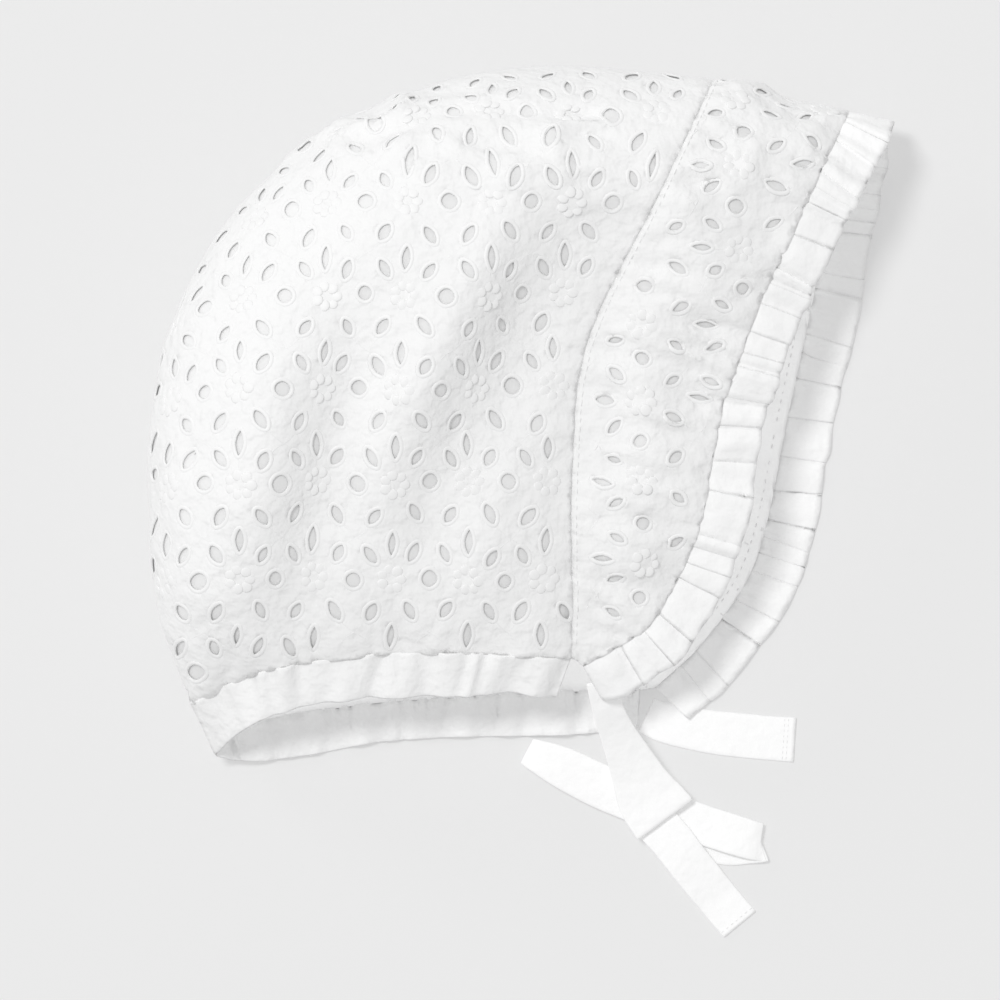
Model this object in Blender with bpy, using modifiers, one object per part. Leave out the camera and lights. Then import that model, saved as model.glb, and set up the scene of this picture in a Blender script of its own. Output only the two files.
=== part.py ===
"""Baby bonnet of white eyelet cotton, lying on its side.

The wearer's right side is up, the left side lies flat on the surface. X runs from the back of the
crown to the face, Y from the neck to the top of the head and Z up from the surface. The origin lies
on the underside, in the middle of the flat side.

The cloth is one surface made of hoops. A hoop runs from the neck edge of the upper side, over the
ridge along the top of the head, to the neck edge of the lower side. Hoop 0 is the stitch line of the
ruffle, hoop 2 the seam between brim and crown, and hoop 9 the point at the back of the neck.
"""

import math
from collections import namedtuple

import bmesh
import bpy
from mathutils import Matrix, Vector
from mathutils.bvhtree import BVHTree

MM = 0.001

# Driving sizes
BONNET_DEPTH = 174 * MM
BONNET_HEIGHT = 156 * MM
PUFF_HEIGHT = 58 * MM
UPPER_ROUNDING = 44 * MM
LOWER_ROUNDING = 26 * MM
CLOTH_WALL = 1.0 * MM
LINING_WALL = 0.8 * MM
LINING_GAP = 0.6 * MM
SEAM_GAP = 0.6 * MM
NAPE_LEAN = 0.6
RUFFLE_WIDTH = 11.8 * MM
RUFFLE_WALL = 1.0 * MM
PLEAT_DEPTH = 2.0 * MM
PLEAT_COUNT = 36
GATHER_DEPTH = 0.9 * MM
GATHER_LENGTH = 22 * MM
GATHER_REACH = 24 * MM
TIE_WIDTH = 10.5 * MM
TIE_WALL = 0.9 * MM
PIECE_GAP = 0.35 * MM

# Eyelets: one flower of five petals and one round eyelet in each repeat
FLOWER_PITCH_ACROSS = 19.3 * MM
FLOWER_PITCH_ALONG = 23.3 * MM
ROUND_EYELET = 4.0 * MM
EYELET_MARGIN = 3.2 * MM
EYELET_FLOOR = 33 * MM
EYELET_SIDES = 6

# Mesh fineness
BRIM_ROWS = 4
CROWN_ROWS = 16
UPPER_COLUMNS = 17
LOWER_COLUMNS = 9
BAND_ROWS = 2
RUFFLE_ROWS = 1
STEPS_PER_PLEAT = 4

SEAM_HOOP = 2
LAST_HOOP = 9

# x and y are shares of BONNET_DEPTH and BONNET_HEIGHT, z shares of PUFF_HEIGHT
Hoop = namedtuple(
    "Hoop",
    "ridge_x ridge_y ridge_z near_x near_y near_z far_x far_y far_z crest_z near_round far_round",
)
HOOPS = [
    Hoop(0.598, 0.501, 0.28, 0.218, -0.371, 0.41, 0.323, -0.413, 0.028, 0.62, 0.64, 1.70),
    Hoop(0.503, 0.526, 0.33, 0.210, -0.368, 0.42, 0.313, -0.414, 0.024, 0.74, 0.73, 1.30),
    Hoop(0.405, 0.552, 0.36, 0.201, -0.365, 0.44, 0.302, -0.416, 0.014, 0.82, 0.82, 1.10),
    Hoop(0.158, 0.573, 0.38, 0.144, -0.360, 0.49, 0.216, -0.419, 0.000, 0.93, 0.91, 1.00),
    Hoop(-0.065, 0.520, 0.40, 0.072, -0.357, 0.53, 0.122, -0.422, 0.000, 1.00, 1.00, 1.00),
    Hoop(-0.241, 0.384, 0.41, -0.007, -0.355, 0.56, 0.029, -0.429, 0.000, 1.00, 1.05, 1.00),
    Hoop(-0.359, 0.184, 0.42, -0.093, -0.360, 0.58, -0.072, -0.437, 0.000, 0.96, 0.92, 1.10),
    Hoop(-0.399, -0.064, 0.42, -0.201, -0.376, 0.58, -0.187, -0.454, 0.010, 0.84, 0.65, 1.30),
    Hoop(-0.388, -0.272, 0.38, -0.280, -0.403, 0.47, -0.273, -0.470, 0.060, 0.60, 0.32, 1.50),
    Hoop(-0.341, -0.437, 0.30, -0.341, -0.437, 0.30, -0.341, -0.437, 0.300, 0.30, 0.40, 1.50),
]

# How far a hoop bows towards the face, as shares of BONNET_DEPTH, at these shares of its plan length
BOW_STATIONS = (0.0, 0.25, 0.5, 0.75, 0.9, 1.0)
Bow = namedtuple("Bow", "near_quarter near_middle near_lower near_end far_quarter far_middle far_lower far_end")
BOWS = [
    Bow(0.000, 0.017, 0.069, 0.060, 0.032, 0.057, 0.079, 0.046),
    Bow(-0.022, -0.032, 0.009, 0.020, 0.000, 0.005, 0.024, 0.017),
    Bow(-0.045, -0.080, -0.052, -0.019, -0.029, -0.047, -0.032, -0.013),
    Bow(-0.017, -0.029, -0.017, -0.006, -0.014, -0.023, -0.016, -0.006),
] + [Bow(0, 0, 0, 0, 0, 0, 0, 0)] * 6

# Neck edge of the band below hoops 2 to 9, in the same shares
NeckEdge = namedtuple("NeckEdge", "near_x near_y near_z far_x far_y far_z")
NECK_EDGES = [
    NeckEdge(0.182, -0.427, 0.38, 0.299, -0.477, 0.00),
    NeckEdge(0.129, -0.421, 0.43, 0.216, -0.488, 0.00),
    NeckEdge(0.057, -0.422, 0.47, 0.122, -0.491, 0.00),
    NeckEdge(-0.017, -0.427, 0.50, 0.029, -0.493, 0.00),
    NeckEdge(-0.108, -0.432, 0.52, -0.072, -0.501, 0.00),
    NeckEdge(-0.201, -0.448, 0.50, -0.180, -0.522, 0.00),
    NeckEdge(-0.266, -0.480, 0.38, -0.259, -0.531, 0.04),
    NeckEdge(-0.309, -0.522, 0.15, -0.309, -0.522, 0.15),
]

# Soft folds of the upper side: plan line as shares, width and depth as shares of the puff height
Fold = namedtuple("Fold", "top_x top_y low_x low_y width depth")
FOLDS = [
    Fold(0.24, 0.38, -0.01, -0.22, 0.13, -0.030),
    Fold(0.14, 0.40, -0.09, -0.10, 0.10, 0.018),
    Fold(-0.09, 0.20, -0.18, -0.30, 0.11, -0.026),
    Fold(0.09, 0.10, 0.06, -0.30, 0.10, 0.014),
    Fold(-0.23, 0.20, -0.26, -0.25, 0.11, 0.014),
    Fold(0.30, 0.42, 0.20, -0.10, 0.10, -0.016),
    Fold(0.34, 0.10, 0.28, -0.25, 0.09, 0.012),
]

# Petals of one flower: distance and angle of the middle, length and width in metres
Petal = namedtuple("Petal", "distance angle length width")
PETALS = [
    Petal(9.5 * MM, 90, 6.0 * MM, 2.3 * MM),
    Petal(8.3 * MM, 48, 5.0 * MM, 3.1 * MM),
    Petal(8.3 * MM, 132, 5.0 * MM, 3.1 * MM),
    Petal(9.0 * MM, -57, 5.0 * MM, 3.1 * MM),
    Petal(9.0 * MM, -123, 5.0 * MM, 3.1 * MM),
]
# First flower, as shares, its turn in degrees, its lean, and columns and rows counted from it
FlowerField = namedtuple("FlowerField", "x y turn lean columns rows")
CROWN_FLOWERS = FlowerField(0.055, -0.083, 0, 0.055, range(-2, 2), range(-1, 4))
BRIM_FLOWERS = FlowerField(0.305, -0.080, 90, 0, range(-1, 2), range(0, 2))

# Ties: the middle line as shares, height above the surface in metres and width as a share of TIE_WIDTH
Stop = namedtuple("Stop", "x y z width")
STRAP_ROUTE = [
    Stop(0.244, -0.400, 0.370 * PUFF_HEIGHT, 0.68),
    Stop(0.253, -0.440, 0.276 * PUFF_HEIGHT, 0.70),
    Stop(0.270, -0.488, 0.183 * PUFF_HEIGHT, 0.85),
    Stop(0.293, -0.541, 6.8 * MM, 1.15),
    Stop(0.313, -0.586, 5.3 * MM, 1.50),
    Stop(0.332, -0.614, 5.1 * MM, 1.60),
    Stop(0.336, -0.620, 4.9 * MM, 1.60),
    Stop(0.332, -0.614, 4.7 * MM, 1.60),
    Stop(0.316, -0.592, 4.7 * MM, 1.50),
]
LEFT_LOOP_ROUTE = [
    Stop(0.310, -0.602, 0.0 * MM, 0.90),
    Stop(0.244, -0.570, 0.0 * MM, 1.00),
    Stop(0.187, -0.539, 0.0 * MM, 0.95),
    Stop(0.151, -0.522, 0.5 * MM, 0.75),
    Stop(0.138, -0.515, 1.8 * MM, 0.66),
    Stop(0.151, -0.522, 3.1 * MM, 0.75),
    Stop(0.187, -0.539, 3.3 * MM, 0.95),
    Stop(0.244, -0.570, 2.6 * MM, 1.05),
    Stop(0.310, -0.602, 2.1 * MM, 1.00),
]
RIGHT_LOOP_ROUTE = [
    Stop(0.332, -0.611, 0.0 * MM, 0.95),
    Stop(0.374, -0.640, 0.0 * MM, 1.00),
    Stop(0.420, -0.664, 0.0 * MM, 1.00),
    Stop(0.460, -0.664, 0.5 * MM, 0.95),
    Stop(0.477, -0.661, 1.8 * MM, 0.92),
    Stop(0.463, -0.657, 3.1 * MM, 0.92),
    Stop(0.431, -0.646, 3.1 * MM, 0.95),
    Stop(0.388, -0.630, 2.2 * MM, 0.95),
    Stop(0.332, -0.606, 2.1 * MM, 0.90),
]
TAIL_ROUTE = [
    Stop(0.302, -0.597, 2.5 * MM, 1.00),
    Stop(0.323, -0.629, 2.5 * MM, 1.02),
    Stop(0.348, -0.661, 2.6 * MM, 1.02),
    Stop(0.368, -0.688, 2.5 * MM, 1.00),
    Stop(0.394, -0.723, 1.4 * MM, 1.00),
    Stop(0.417, -0.754, 0.2 * MM, 1.00),
    Stop(0.445, -0.792, 0.0 * MM, 1.00),
]
FAR_TIE_ROUTE = [
    Stop(0.311, -0.456, 0.0 * MM, 0.85),
    Stop(0.340, -0.470, 0.0 * MM, 0.95),
    Stop(0.400, -0.484, 0.0 * MM, 1.00),
    Stop(0.460, -0.491, 0.0 * MM, 1.03),
    Stop(0.524, -0.496, 0.0 * MM, 1.06),
]
ROUTE_STEPS = 2

COTTON = (0.93, 0.93, 0.92, 1.0)
LINING_COTTON = (0.88, 0.88, 0.87, 1.0)


def clear_scene():
    for item in list(bpy.data.objects):
        bpy.data.objects.remove(item, do_unlink=True)


def cloth_material(name, colour, roughness):
    material = bpy.data.materials.new(name)
    material.use_nodes = True
    shader = material.node_tree.nodes["Principled BSDF"]
    shader.inputs["Base Color"].default_value = colour
    shader.inputs["Roughness"].default_value = roughness
    shader.inputs["Metallic"].default_value = 0.0
    return material


def curve_through(stations, values, at):
    """A smooth value at a place between stations, by cubic Hermite pieces."""
    last = len(stations) - 1
    i = max(0, min(last - 1, sum(1 for s in stations[1:-1] if s <= at)))

    def slope(k):
        low, high = max(0, k - 1), min(last, k + 1)
        return (values[high] - values[low]) / (stations[high] - stations[low])

    step = stations[i + 1] - stations[i]
    u = (at - stations[i]) / step
    v = 1 - u
    start, end = values[i], values[i + 1]
    return (
        start * v * v * (1 + 2 * u)
        + end * u * u * (3 - 2 * u)
        + slope(i) * step * u * v * v
        - slope(i + 1) * step * u * u * v
    )


def blended_row(table, at, first=0):
    """The table's columns at a fractional hoop number."""
    stations = [first + k for k in range(len(table))]
    columns = zip(*table)
    return type(table[0])(*(curve_through(stations, column, at) for column in columns))


def plan(x_share, y_share):
    return Vector((x_share * BONNET_DEPTH, y_share * BONNET_HEIGHT))


def height(z_share):
    return CLOTH_WALL + z_share * PUFF_HEIGHT


def fold_rise(place):
    """How far the soft folds lift or sink the upper side at a plan position."""
    rise = 0.0
    for fold in FOLDS:
        top, low = plan(fold.top_x, fold.top_y), plan(fold.low_x, fold.low_y)
        run = low - top
        share = (place - top).dot(run) / run.length_squared
        beside = (place - top - run * share).length / (fold.width * BONNET_DEPTH / 2)
        ends = max(0.0, min(1.0, 2.5 * (share + 0.1))) * max(0.0, min(1.0, 2.5 * (1.1 - share)))
        rise += fold.depth * PUFF_HEIGHT * math.exp(-beside * beside) * ends
    return rise


def gather_rise(place_x, distance_up):
    """Small gathers that the neck band draws into the cloth of the upper side."""
    fade = math.exp(-((distance_up / GATHER_REACH) ** 2))
    return GATHER_DEPTH * math.sin(2 * math.pi * place_x / GATHER_LENGTH) * fade


half_hoops = {}


def half_hoop(t, near):
    """Points of one half of hoop t from the ridge to its neck end, and the length up to each."""
    key = (round(t, 6), near)
    if key in half_hoops:
        return half_hoops[key]
    row, bow = blended_row(HOOPS, t), blended_row(BOWS, t)
    ridge = plan(row.ridge_x, row.ridge_y)
    end = plan(row.near_x, row.near_y) if near else plan(row.far_x, row.far_y)
    bows = (0, *(bow[:4] if near else bow[4:]), 0)
    run = end - ridge
    forward = Vector((-run.y, run.x)).normalized() if run.length > 1e-9 else Vector((1, 0))
    if near:
        rounding = min(UPPER_ROUNDING * row.near_round, 0.75 * run.length)
    else:
        rounding = min(LOWER_ROUNDING * row.far_round, 0.80 * run.length)
    turn_steps, run_steps = 14, 24
    distances = [rounding * (1 - math.cos(k / turn_steps * math.pi / 2)) for k in range(turn_steps)]
    distances += [rounding + (run.length - rounding) * k / run_steps for k in range(run_steps + 1)]
    ridge_z, crest_z, near_z, far_z = map(height, (row.ridge_z, row.crest_z, row.near_z, row.far_z))
    points = []
    for distance in distances:
        share = distance / max(run.length, 1e-9)
        place = ridge + run * share
        place += forward * curve_through(BOW_STATIONS, bows, share) * BONNET_DEPTH
        before = max(0.0, 1 - distance / max(rounding, 1e-9))
        turned = math.sqrt(max(0.0, 1 - before * before))
        if near:
            after = max(0.0, distance - rounding) / max(run.length - rounding, 1e-9)
            z = ridge_z + (crest_z - ridge_z) * turned + (near_z - crest_z) * after**1.7
            z += fold_rise(place) * turned**3
            z += gather_rise(end.x, run.length - distance) * min(1.0, LAST_HOOP - t)
        else:
            z = max(CLOTH_WALL, far_z + (ridge_z - far_z) * (1 - turned))
        points.append(Vector((*place, z)))
    lengths = [0.0]
    for a, b in zip(points, points[1:]):
        lengths.append(lengths[-1] + (b - a).length)
    half_hoops[key] = (points, lengths)
    return half_hoops[key]


def on_bonnet(t, h):
    """The point of the inner face of the outer cloth: h is 1 at the upper neck end, 0 at the ridge."""
    points, lengths = half_hoop(t, h >= 0)
    wanted = abs(h) * lengths[-1]
    k = 1
    while k < len(lengths) - 1 and lengths[k] < wanted:
        k += 1
    span = max(lengths[k] - lengths[k - 1], 1e-12)
    return points[k - 1].lerp(points[k], min(1.0, (wanted - lengths[k - 1]) / span))


def outward(t, h):
    """Unit normal of the bonnet, away from the head."""
    reach = 0.02
    t = min(max(t, reach), LAST_HOOP - 0.05)
    h = min(max(h, reach - 1), 1 - reach)
    along = on_bonnet(t, h + reach) - on_bonnet(t, h - reach)
    across = on_bonnet(t + reach, h) - on_bonnet(t - reach, h)
    return across.cross(along).normalized()


def hoop_columns():
    """Places along a hoop from the lower to the upper neck end, closer together at the ridge."""
    upper = [(k / UPPER_COLUMNS) ** 1.15 for k in range(UPPER_COLUMNS + 1)]
    lower = [-((k / LOWER_COLUMNS) ** 1.5) for k in range(1, LOWER_COLUMNS + 1)]
    return lower[::-1] + upper


def sheet_mesh(name, rows, columns, place):
    """An open sheet: a grid whose corner (row, column) goes where place says."""
    frame = bmesh.new()
    row_steps, column_steps = len(rows) - 1, len(columns) - 1
    bmesh.ops.create_grid(frame, x_segments=row_steps, y_segments=column_steps, size=1)
    for corner in frame.verts:
        row = rows[round((corner.co.x + 1) / 2 * row_steps)]
        column = columns[round((corner.co.y + 1) / 2 * column_steps)]
        corner.co = place(row, column)
    bmesh.ops.remove_doubles(frame, verts=frame.verts, dist=0.02 * MM)
    bmesh.ops.triangulate(frame, faces=frame.faces, quad_method="FIXED")
    mesh = bpy.data.meshes.new(name)
    frame.to_mesh(mesh)
    frame.free()
    return mesh


def add_object(name, mesh, material, collection):
    piece = bpy.data.objects.new(name, mesh)
    collection.objects.link(piece)
    mesh.materials.append(material)
    return piece


def thicken(piece, wall, offset=1.0):
    shell = piece.modifiers.new("Wall", "SOLIDIFY")
    shell.thickness = wall
    shell.offset = offset
    shell.use_quality_normals = True


def hoops_between(first_hoop, last_hoop, rows):
    return [first_hoop + (last_hoop - first_hoop) * k / rows for k in range(rows + 1)]


def shell_piece(name, hoops, material, collection, wall, inset=0.0):
    """A stretch of the bonnet over some hoops, its seam edges drawn back by half the seam gap."""

    def place(t, h):
        point = on_bonnet(t, h) - outward(t, h if t < LAST_HOOP else 0) * inset
        at_start, at_end = t == hoops[0], t == hoops[-1] and t < LAST_HOOP
        if at_start or at_end:
            step = 0.03 if at_start else -0.03
            inward = (on_bonnet(t + step, h) - on_bonnet(t, h)).normalized()
            point += inward * SEAM_GAP / 2
        return point

    mesh = sheet_mesh(name, hoops, hoop_columns(), place)
    piece = add_object(name, mesh, material, collection)
    thicken(piece, wall, -1.0 if inset else 1.0)
    return piece


def on_band(drop, along):
    """Point of the neck band: drop is 0 at the crown and 1 at the neck edge, along is 1 at the
    upper end of the band, 0 at the back of the neck and -1 at the lower end."""
    t = LAST_HOOP - (LAST_HOOP - SEAM_HOOP) * abs(along)
    top = on_bonnet(t, 1 if along >= 0 else -1)
    row = blended_row(NECK_EDGES, t, SEAM_HOOP)
    if along >= 0:
        edge = Vector((*plan(row.near_x, row.near_y), height(row.near_z)))
    else:
        edge = Vector((*plan(row.far_x, row.far_y), height(row.far_z)))
    drop_way = (edge - top).normalized()
    side = 1 if along >= 0 else -1
    lean = max(0.0, outward(t, side).dot(drop_way))
    lean += NAPE_LEAN * max(0.0, t - LAST_HOOP + 1)
    start = top + drop_way * (SEAM_GAP + lean * CLOTH_WALL)
    point = start.lerp(edge, drop)
    if along > 0:
        share = min(1.0, LAST_HOOP - t) * (1 - 0.5 * drop)
        edge_rise = gather_rise(top.x, 0) * share * drop
        point.z += edge_rise
    point.z = max(CLOTH_WALL, point.z)
    return point


def neck_band(material, collection):
    along = [k / CROWN_ROWS for k in range(-CROWN_ROWS, CROWN_ROWS + 1)]
    drops = [k / BAND_ROWS for k in range(BAND_ROWS + 1)]
    mesh = sheet_mesh("neck_band", drops, along, on_band)
    piece = add_object("neck_band", mesh, material, collection)
    thicken(piece, CLOTH_WALL)


def on_ruffle(h, out):
    """Point of the ruffle: h runs along the stitch line, out is 0 there and 1 at the free edge."""
    root = on_bonnet(0, h)
    normal = outward(0, h)
    reach = 0.02
    held = min(max(h, reach - 1), 1 - reach)
    along = (on_bonnet(0, held + reach) - on_bonnet(0, held - reach)).normalized()
    away = normal.cross(along).normalized()
    turn = (h + 1) / 2 * PLEAT_COUNT
    rise = turn - math.floor(turn)
    wave = 1 - rise / 0.7 if rise < 0.7 else (rise - 0.7) / 0.3
    point = root + away * (SEAM_GAP / 2 + (RUFFLE_WIDTH - SEAM_GAP / 2) * out)
    lift = PLEAT_DEPTH * wave * out
    point += normal * (lift if h >= 0 else -lift * min(1.0, 4 * root.z / PUFF_HEIGHT))
    if h < 0:
        point.z = max(point.z, RUFFLE_WALL + PLEAT_DEPTH * wave * out * 0.6)
    return point


def ruffle(material, collection):
    steps = PLEAT_COUNT * STEPS_PER_PLEAT
    along = [2 * k / steps - 1 for k in range(steps + 1)]
    outs = [k / RUFFLE_ROWS for k in range(RUFFLE_ROWS + 1)]
    mesh = sheet_mesh("ruffle", along, outs, on_ruffle)
    piece = add_object("ruffle", mesh, material, collection)
    thicken(piece, RUFFLE_WALL)
    return piece


def lowest_over(piece, stop):
    """The lowest underside of a piece over the first end of a tie."""
    piece_tree = BVHTree.FromObject(piece, bpy.context.evaluated_depsgraph_get())
    reach = stop.width * TIE_WIDTH / 2
    heights = []
    for across in (-1, -0.5, 0, 0.5, 1):
        spot = plan(stop.x, stop.y) + Vector((across * reach, 0))
        hit = piece_tree.ray_cast(Vector((*spot, 0)), Vector((0, 0, 1)))[0]
        if hit:
            heights.append(hit.z)
    return min(heights)


def tie(name, route, material, collection):
    """A flat strap along a route, level across its width."""
    stations = list(range(len(route)))
    columns = list(zip(*route))
    steps = (len(route) - 1) * ROUTE_STEPS
    middles = []
    for k in range(steps + 1):
        x, y, z, width = (curve_through(stations, column, k / ROUTE_STEPS) for column in columns)
        middles.append((Vector((*plan(x, y), max(0.0, z))), width * TIE_WIDTH / 2))
    sides = []
    for k in range(steps + 1):
        run = middles[min(k + 1, steps)][0] - middles[max(k - 1, 0)][0]
        side = Vector((run.y, -run.x, 0))
        side = side.normalized() if side.length > TIE_WALL else sides[-1]
        if sides and side.dot(sides[-1]) < 0:
            side = -side
        sides.append(side)

    def place(k, across):
        middle, half_width = middles[k]
        return middle + sides[k] * half_width * across

    mesh = sheet_mesh(name, list(range(steps + 1)), [-1, 0, 1], place)
    piece = add_object(name, mesh, material, collection)
    thicken(piece, TIE_WALL, -1.0)
    return piece


def petal_cutter(frame, spot, normal, turn, length, width):
    """Adds one eyelet-shaped prism, square to the cloth, to the cutter's mesh."""
    upright = normal.to_track_quat("Z", "Y").to_matrix().to_4x4()
    level = Vector((math.cos(turn), math.sin(turn), 0))
    level = (level - normal * level.dot(normal)).normalized()
    side = normal.cross(level)
    upright = Matrix((level, side, normal)).transposed().to_4x4()
    stretch = Matrix.Diagonal((length, width, 1, 1))
    bmesh.ops.create_cone(
        frame,
        cap_ends=True,
        segments=EYELET_SIDES,
        radius1=0.5,
        radius2=0.5,
        depth=3 * CLOTH_WALL,
        matrix=Matrix.Translation(spot) @ upright @ stretch,
    )


def eyelet_places(field):
    """Plan position, turn, length and width of each eyelet in a field of flowers."""
    turn = math.radians(field.turn)
    across = Vector((math.cos(turn), math.sin(turn)))
    along = Vector((-math.sin(turn), math.cos(turn))) + across * field.lean
    for column in field.columns:
        for row in field.rows:
            centre = plan(field.x, field.y) + across * FLOWER_PITCH_ACROSS * column
            centre += along * FLOWER_PITCH_ALONG * row
            for petal in PETALS:
                angle = math.radians(petal.angle) + turn
                spot = centre + Vector((math.cos(angle), math.sin(angle))) * petal.distance
                yield spot, angle, petal.length, petal.width
            yield centre + across * FLOWER_PITCH_ACROSS / 2, turn, ROUND_EYELET, ROUND_EYELET


def cut_eyelets(piece, field, cutters):
    """Cuts a field of eyelets through the upper side of a piece."""
    piece_tree = BVHTree.FromObject(piece, bpy.context.evaluated_depsgraph_get())
    above, down = 2 * PUFF_HEIGHT, Vector((0, 0, -1))
    frame = bmesh.new()
    for spot, turn, length, width in eyelet_places(field):
        hits = []
        for x, y in ((0, 0), (1, 0), (-1, 0), (0, 1), (0, -1)):
            probe = Vector((*spot, above)) + Vector((x, y, 0)) * (EYELET_MARGIN + length / 4)
            hits.append(piece_tree.ray_cast(probe, down))
        if all(hit[0] and hit[0].z > EYELET_FLOOR for hit in hits):
            petal_cutter(frame, hits[0][0], hits[0][1], turn, length, width)
    mesh = bpy.data.meshes.new(piece.name + "_eyelets")
    frame.to_mesh(mesh)
    frame.free()
    cutter = bpy.data.objects.new(mesh.name, mesh)
    cutter.hide_render = True
    cutter.display_type = "WIRE"
    cutters.objects.link(cutter)
    cut = piece.modifiers.new("Eyelets", "BOOLEAN")
    cut.operation = "DIFFERENCE"
    cut.solver = "EXACT"
    cut.object = cutter


def main():
    clear_scene()
    collection = bpy.data.collections.new("baby_bonnet")
    cutters = bpy.data.collections.new("eyelet_cutters")
    bpy.context.scene.collection.children.link(collection)
    bpy.context.scene.collection.children.link(cutters)
    eyelet_cloth = cloth_material("eyelet_cotton", COTTON, 0.9)
    plain_cloth = cloth_material("plain_cotton", COTTON, 0.85)
    lining_cloth = cloth_material("lining_cotton", LINING_COTTON, 0.9)

    crown_hoops = hoops_between(SEAM_HOOP, LAST_HOOP, CROWN_ROWS)
    brim_hoops = hoops_between(0, SEAM_HOOP, BRIM_ROWS)
    crown = shell_piece("crown", crown_hoops, eyelet_cloth, collection, CLOTH_WALL)
    brim = shell_piece("brim", brim_hoops, eyelet_cloth, collection, CLOTH_WALL)
    all_hoops = brim_hoops + crown_hoops[1:]
    shell_piece("lining", all_hoops, lining_cloth, collection, LINING_WALL, LINING_GAP)
    neck_band(plain_cloth, collection)
    frill = ruffle(plain_cloth, collection)
    bpy.context.view_layer.update()
    strap_start = lowest_over(frill, STRAP_ROUTE[0]) - PIECE_GAP - TIE_WALL
    strap_route = [STRAP_ROUTE[0]._replace(z=strap_start), *STRAP_ROUTE[1:]]
    tie("near_tie", strap_route, plain_cloth, collection)
    tie("bow_left_loop", LEFT_LOOP_ROUTE, plain_cloth, collection)
    tie("bow_right_loop", RIGHT_LOOP_ROUTE, plain_cloth, collection)
    tie("bow_tail", TAIL_ROUTE, plain_cloth, collection)
    tie("far_tie", FAR_TIE_ROUTE, plain_cloth, collection)
    bpy.context.view_layer.update()
    cut_eyelets(crown, CROWN_FLOWERS, cutters)
    cut_eyelets(brim, BRIM_FLOWERS, cutters)


main()
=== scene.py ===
"""The looks of a baby bonnet of white eyelet cotton that lies on its side.

The cloth follows one surface of hoops, as in the CAD part. Hoop 0 is the stitch line of the ruffle,
hoop 2 the seam between brim and crown, and hoop 9 the nape. Along a hoop, h is 1 at the neck end of
the upper side, 0 on the ridge along the top of the head and -1 at the neck end of the lower side.
"""

import math
from collections import namedtuple

import bmesh
import bpy
import numpy as np
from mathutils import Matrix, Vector
from mathutils.bvhtree import BVHTree
from mathutils.geometry import delaunay_2d_cdt
from mathutils.kdtree import KDTree


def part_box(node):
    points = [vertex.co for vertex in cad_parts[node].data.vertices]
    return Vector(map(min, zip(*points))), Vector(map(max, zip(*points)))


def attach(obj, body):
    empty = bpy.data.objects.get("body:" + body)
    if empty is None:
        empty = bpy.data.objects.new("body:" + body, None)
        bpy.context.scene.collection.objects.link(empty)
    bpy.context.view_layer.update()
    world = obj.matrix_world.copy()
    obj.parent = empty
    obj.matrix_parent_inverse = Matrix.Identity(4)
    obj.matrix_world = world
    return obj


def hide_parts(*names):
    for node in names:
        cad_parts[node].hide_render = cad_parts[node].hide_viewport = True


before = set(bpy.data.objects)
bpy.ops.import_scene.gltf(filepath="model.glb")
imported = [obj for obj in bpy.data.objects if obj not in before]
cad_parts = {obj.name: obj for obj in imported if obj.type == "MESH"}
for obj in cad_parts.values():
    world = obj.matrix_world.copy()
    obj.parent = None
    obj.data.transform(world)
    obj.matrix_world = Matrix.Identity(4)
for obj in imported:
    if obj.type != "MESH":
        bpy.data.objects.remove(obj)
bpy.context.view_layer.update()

MM = 0.001

# Sizes shared with the CAD part
BONNET_DEPTH = 174 * MM
BONNET_HEIGHT = 156 * MM
PUFF_HEIGHT = 58 * MM
UPPER_ROUNDING = 44 * MM
LOWER_ROUNDING = 26 * MM
CLOTH_WALL = 1.0 * MM
RUFFLE_WIDTH = 11.8 * MM
GATHER_DEPTH = 0.9 * MM
GATHER_LENGTH = 22 * MM
GATHER_REACH = 24 * MM
TIE_WIDTH = 10.5 * MM
TIE_WALL = 0.9 * MM
SEAM_HOOP = 2
LAST_HOOP = 9

# x and y are shares of BONNET_DEPTH and BONNET_HEIGHT, z shares of PUFF_HEIGHT
Hoop = namedtuple(
    "Hoop",
    "ridge_x ridge_y ridge_z near_x near_y near_z far_x far_y far_z crest_z near_round far_round",
)
HOOPS = [
    Hoop(0.598, 0.501, 0.28, 0.218, -0.371, 0.41, 0.323, -0.413, 0.028, 0.62, 0.64, 1.70),
    Hoop(0.503, 0.526, 0.33, 0.210, -0.368, 0.42, 0.313, -0.414, 0.024, 0.74, 0.73, 1.30),
    Hoop(0.405, 0.552, 0.36, 0.201, -0.365, 0.44, 0.302, -0.416, 0.014, 0.82, 0.82, 1.10),
    Hoop(0.158, 0.573, 0.38, 0.144, -0.360, 0.49, 0.216, -0.419, 0.000, 0.93, 0.91, 1.00),
    Hoop(-0.065, 0.520, 0.40, 0.072, -0.357, 0.53, 0.122, -0.422, 0.000, 1.00, 1.00, 1.00),
    Hoop(-0.241, 0.384, 0.41, -0.007, -0.355, 0.56, 0.029, -0.429, 0.000, 1.00, 1.05, 1.00),
    Hoop(-0.359, 0.184, 0.42, -0.093, -0.360, 0.58, -0.072, -0.437, 0.000, 0.96, 0.92, 1.10),
    Hoop(-0.399, -0.064, 0.42, -0.201, -0.376, 0.58, -0.187, -0.454, 0.010, 0.84, 0.65, 1.30),
    Hoop(-0.388, -0.272, 0.38, -0.280, -0.403, 0.47, -0.273, -0.470, 0.060, 0.60, 0.32, 1.50),
    Hoop(-0.341, -0.437, 0.30, -0.341, -0.437, 0.30, -0.341, -0.437, 0.300, 0.30, 0.40, 1.50),
]

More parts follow.
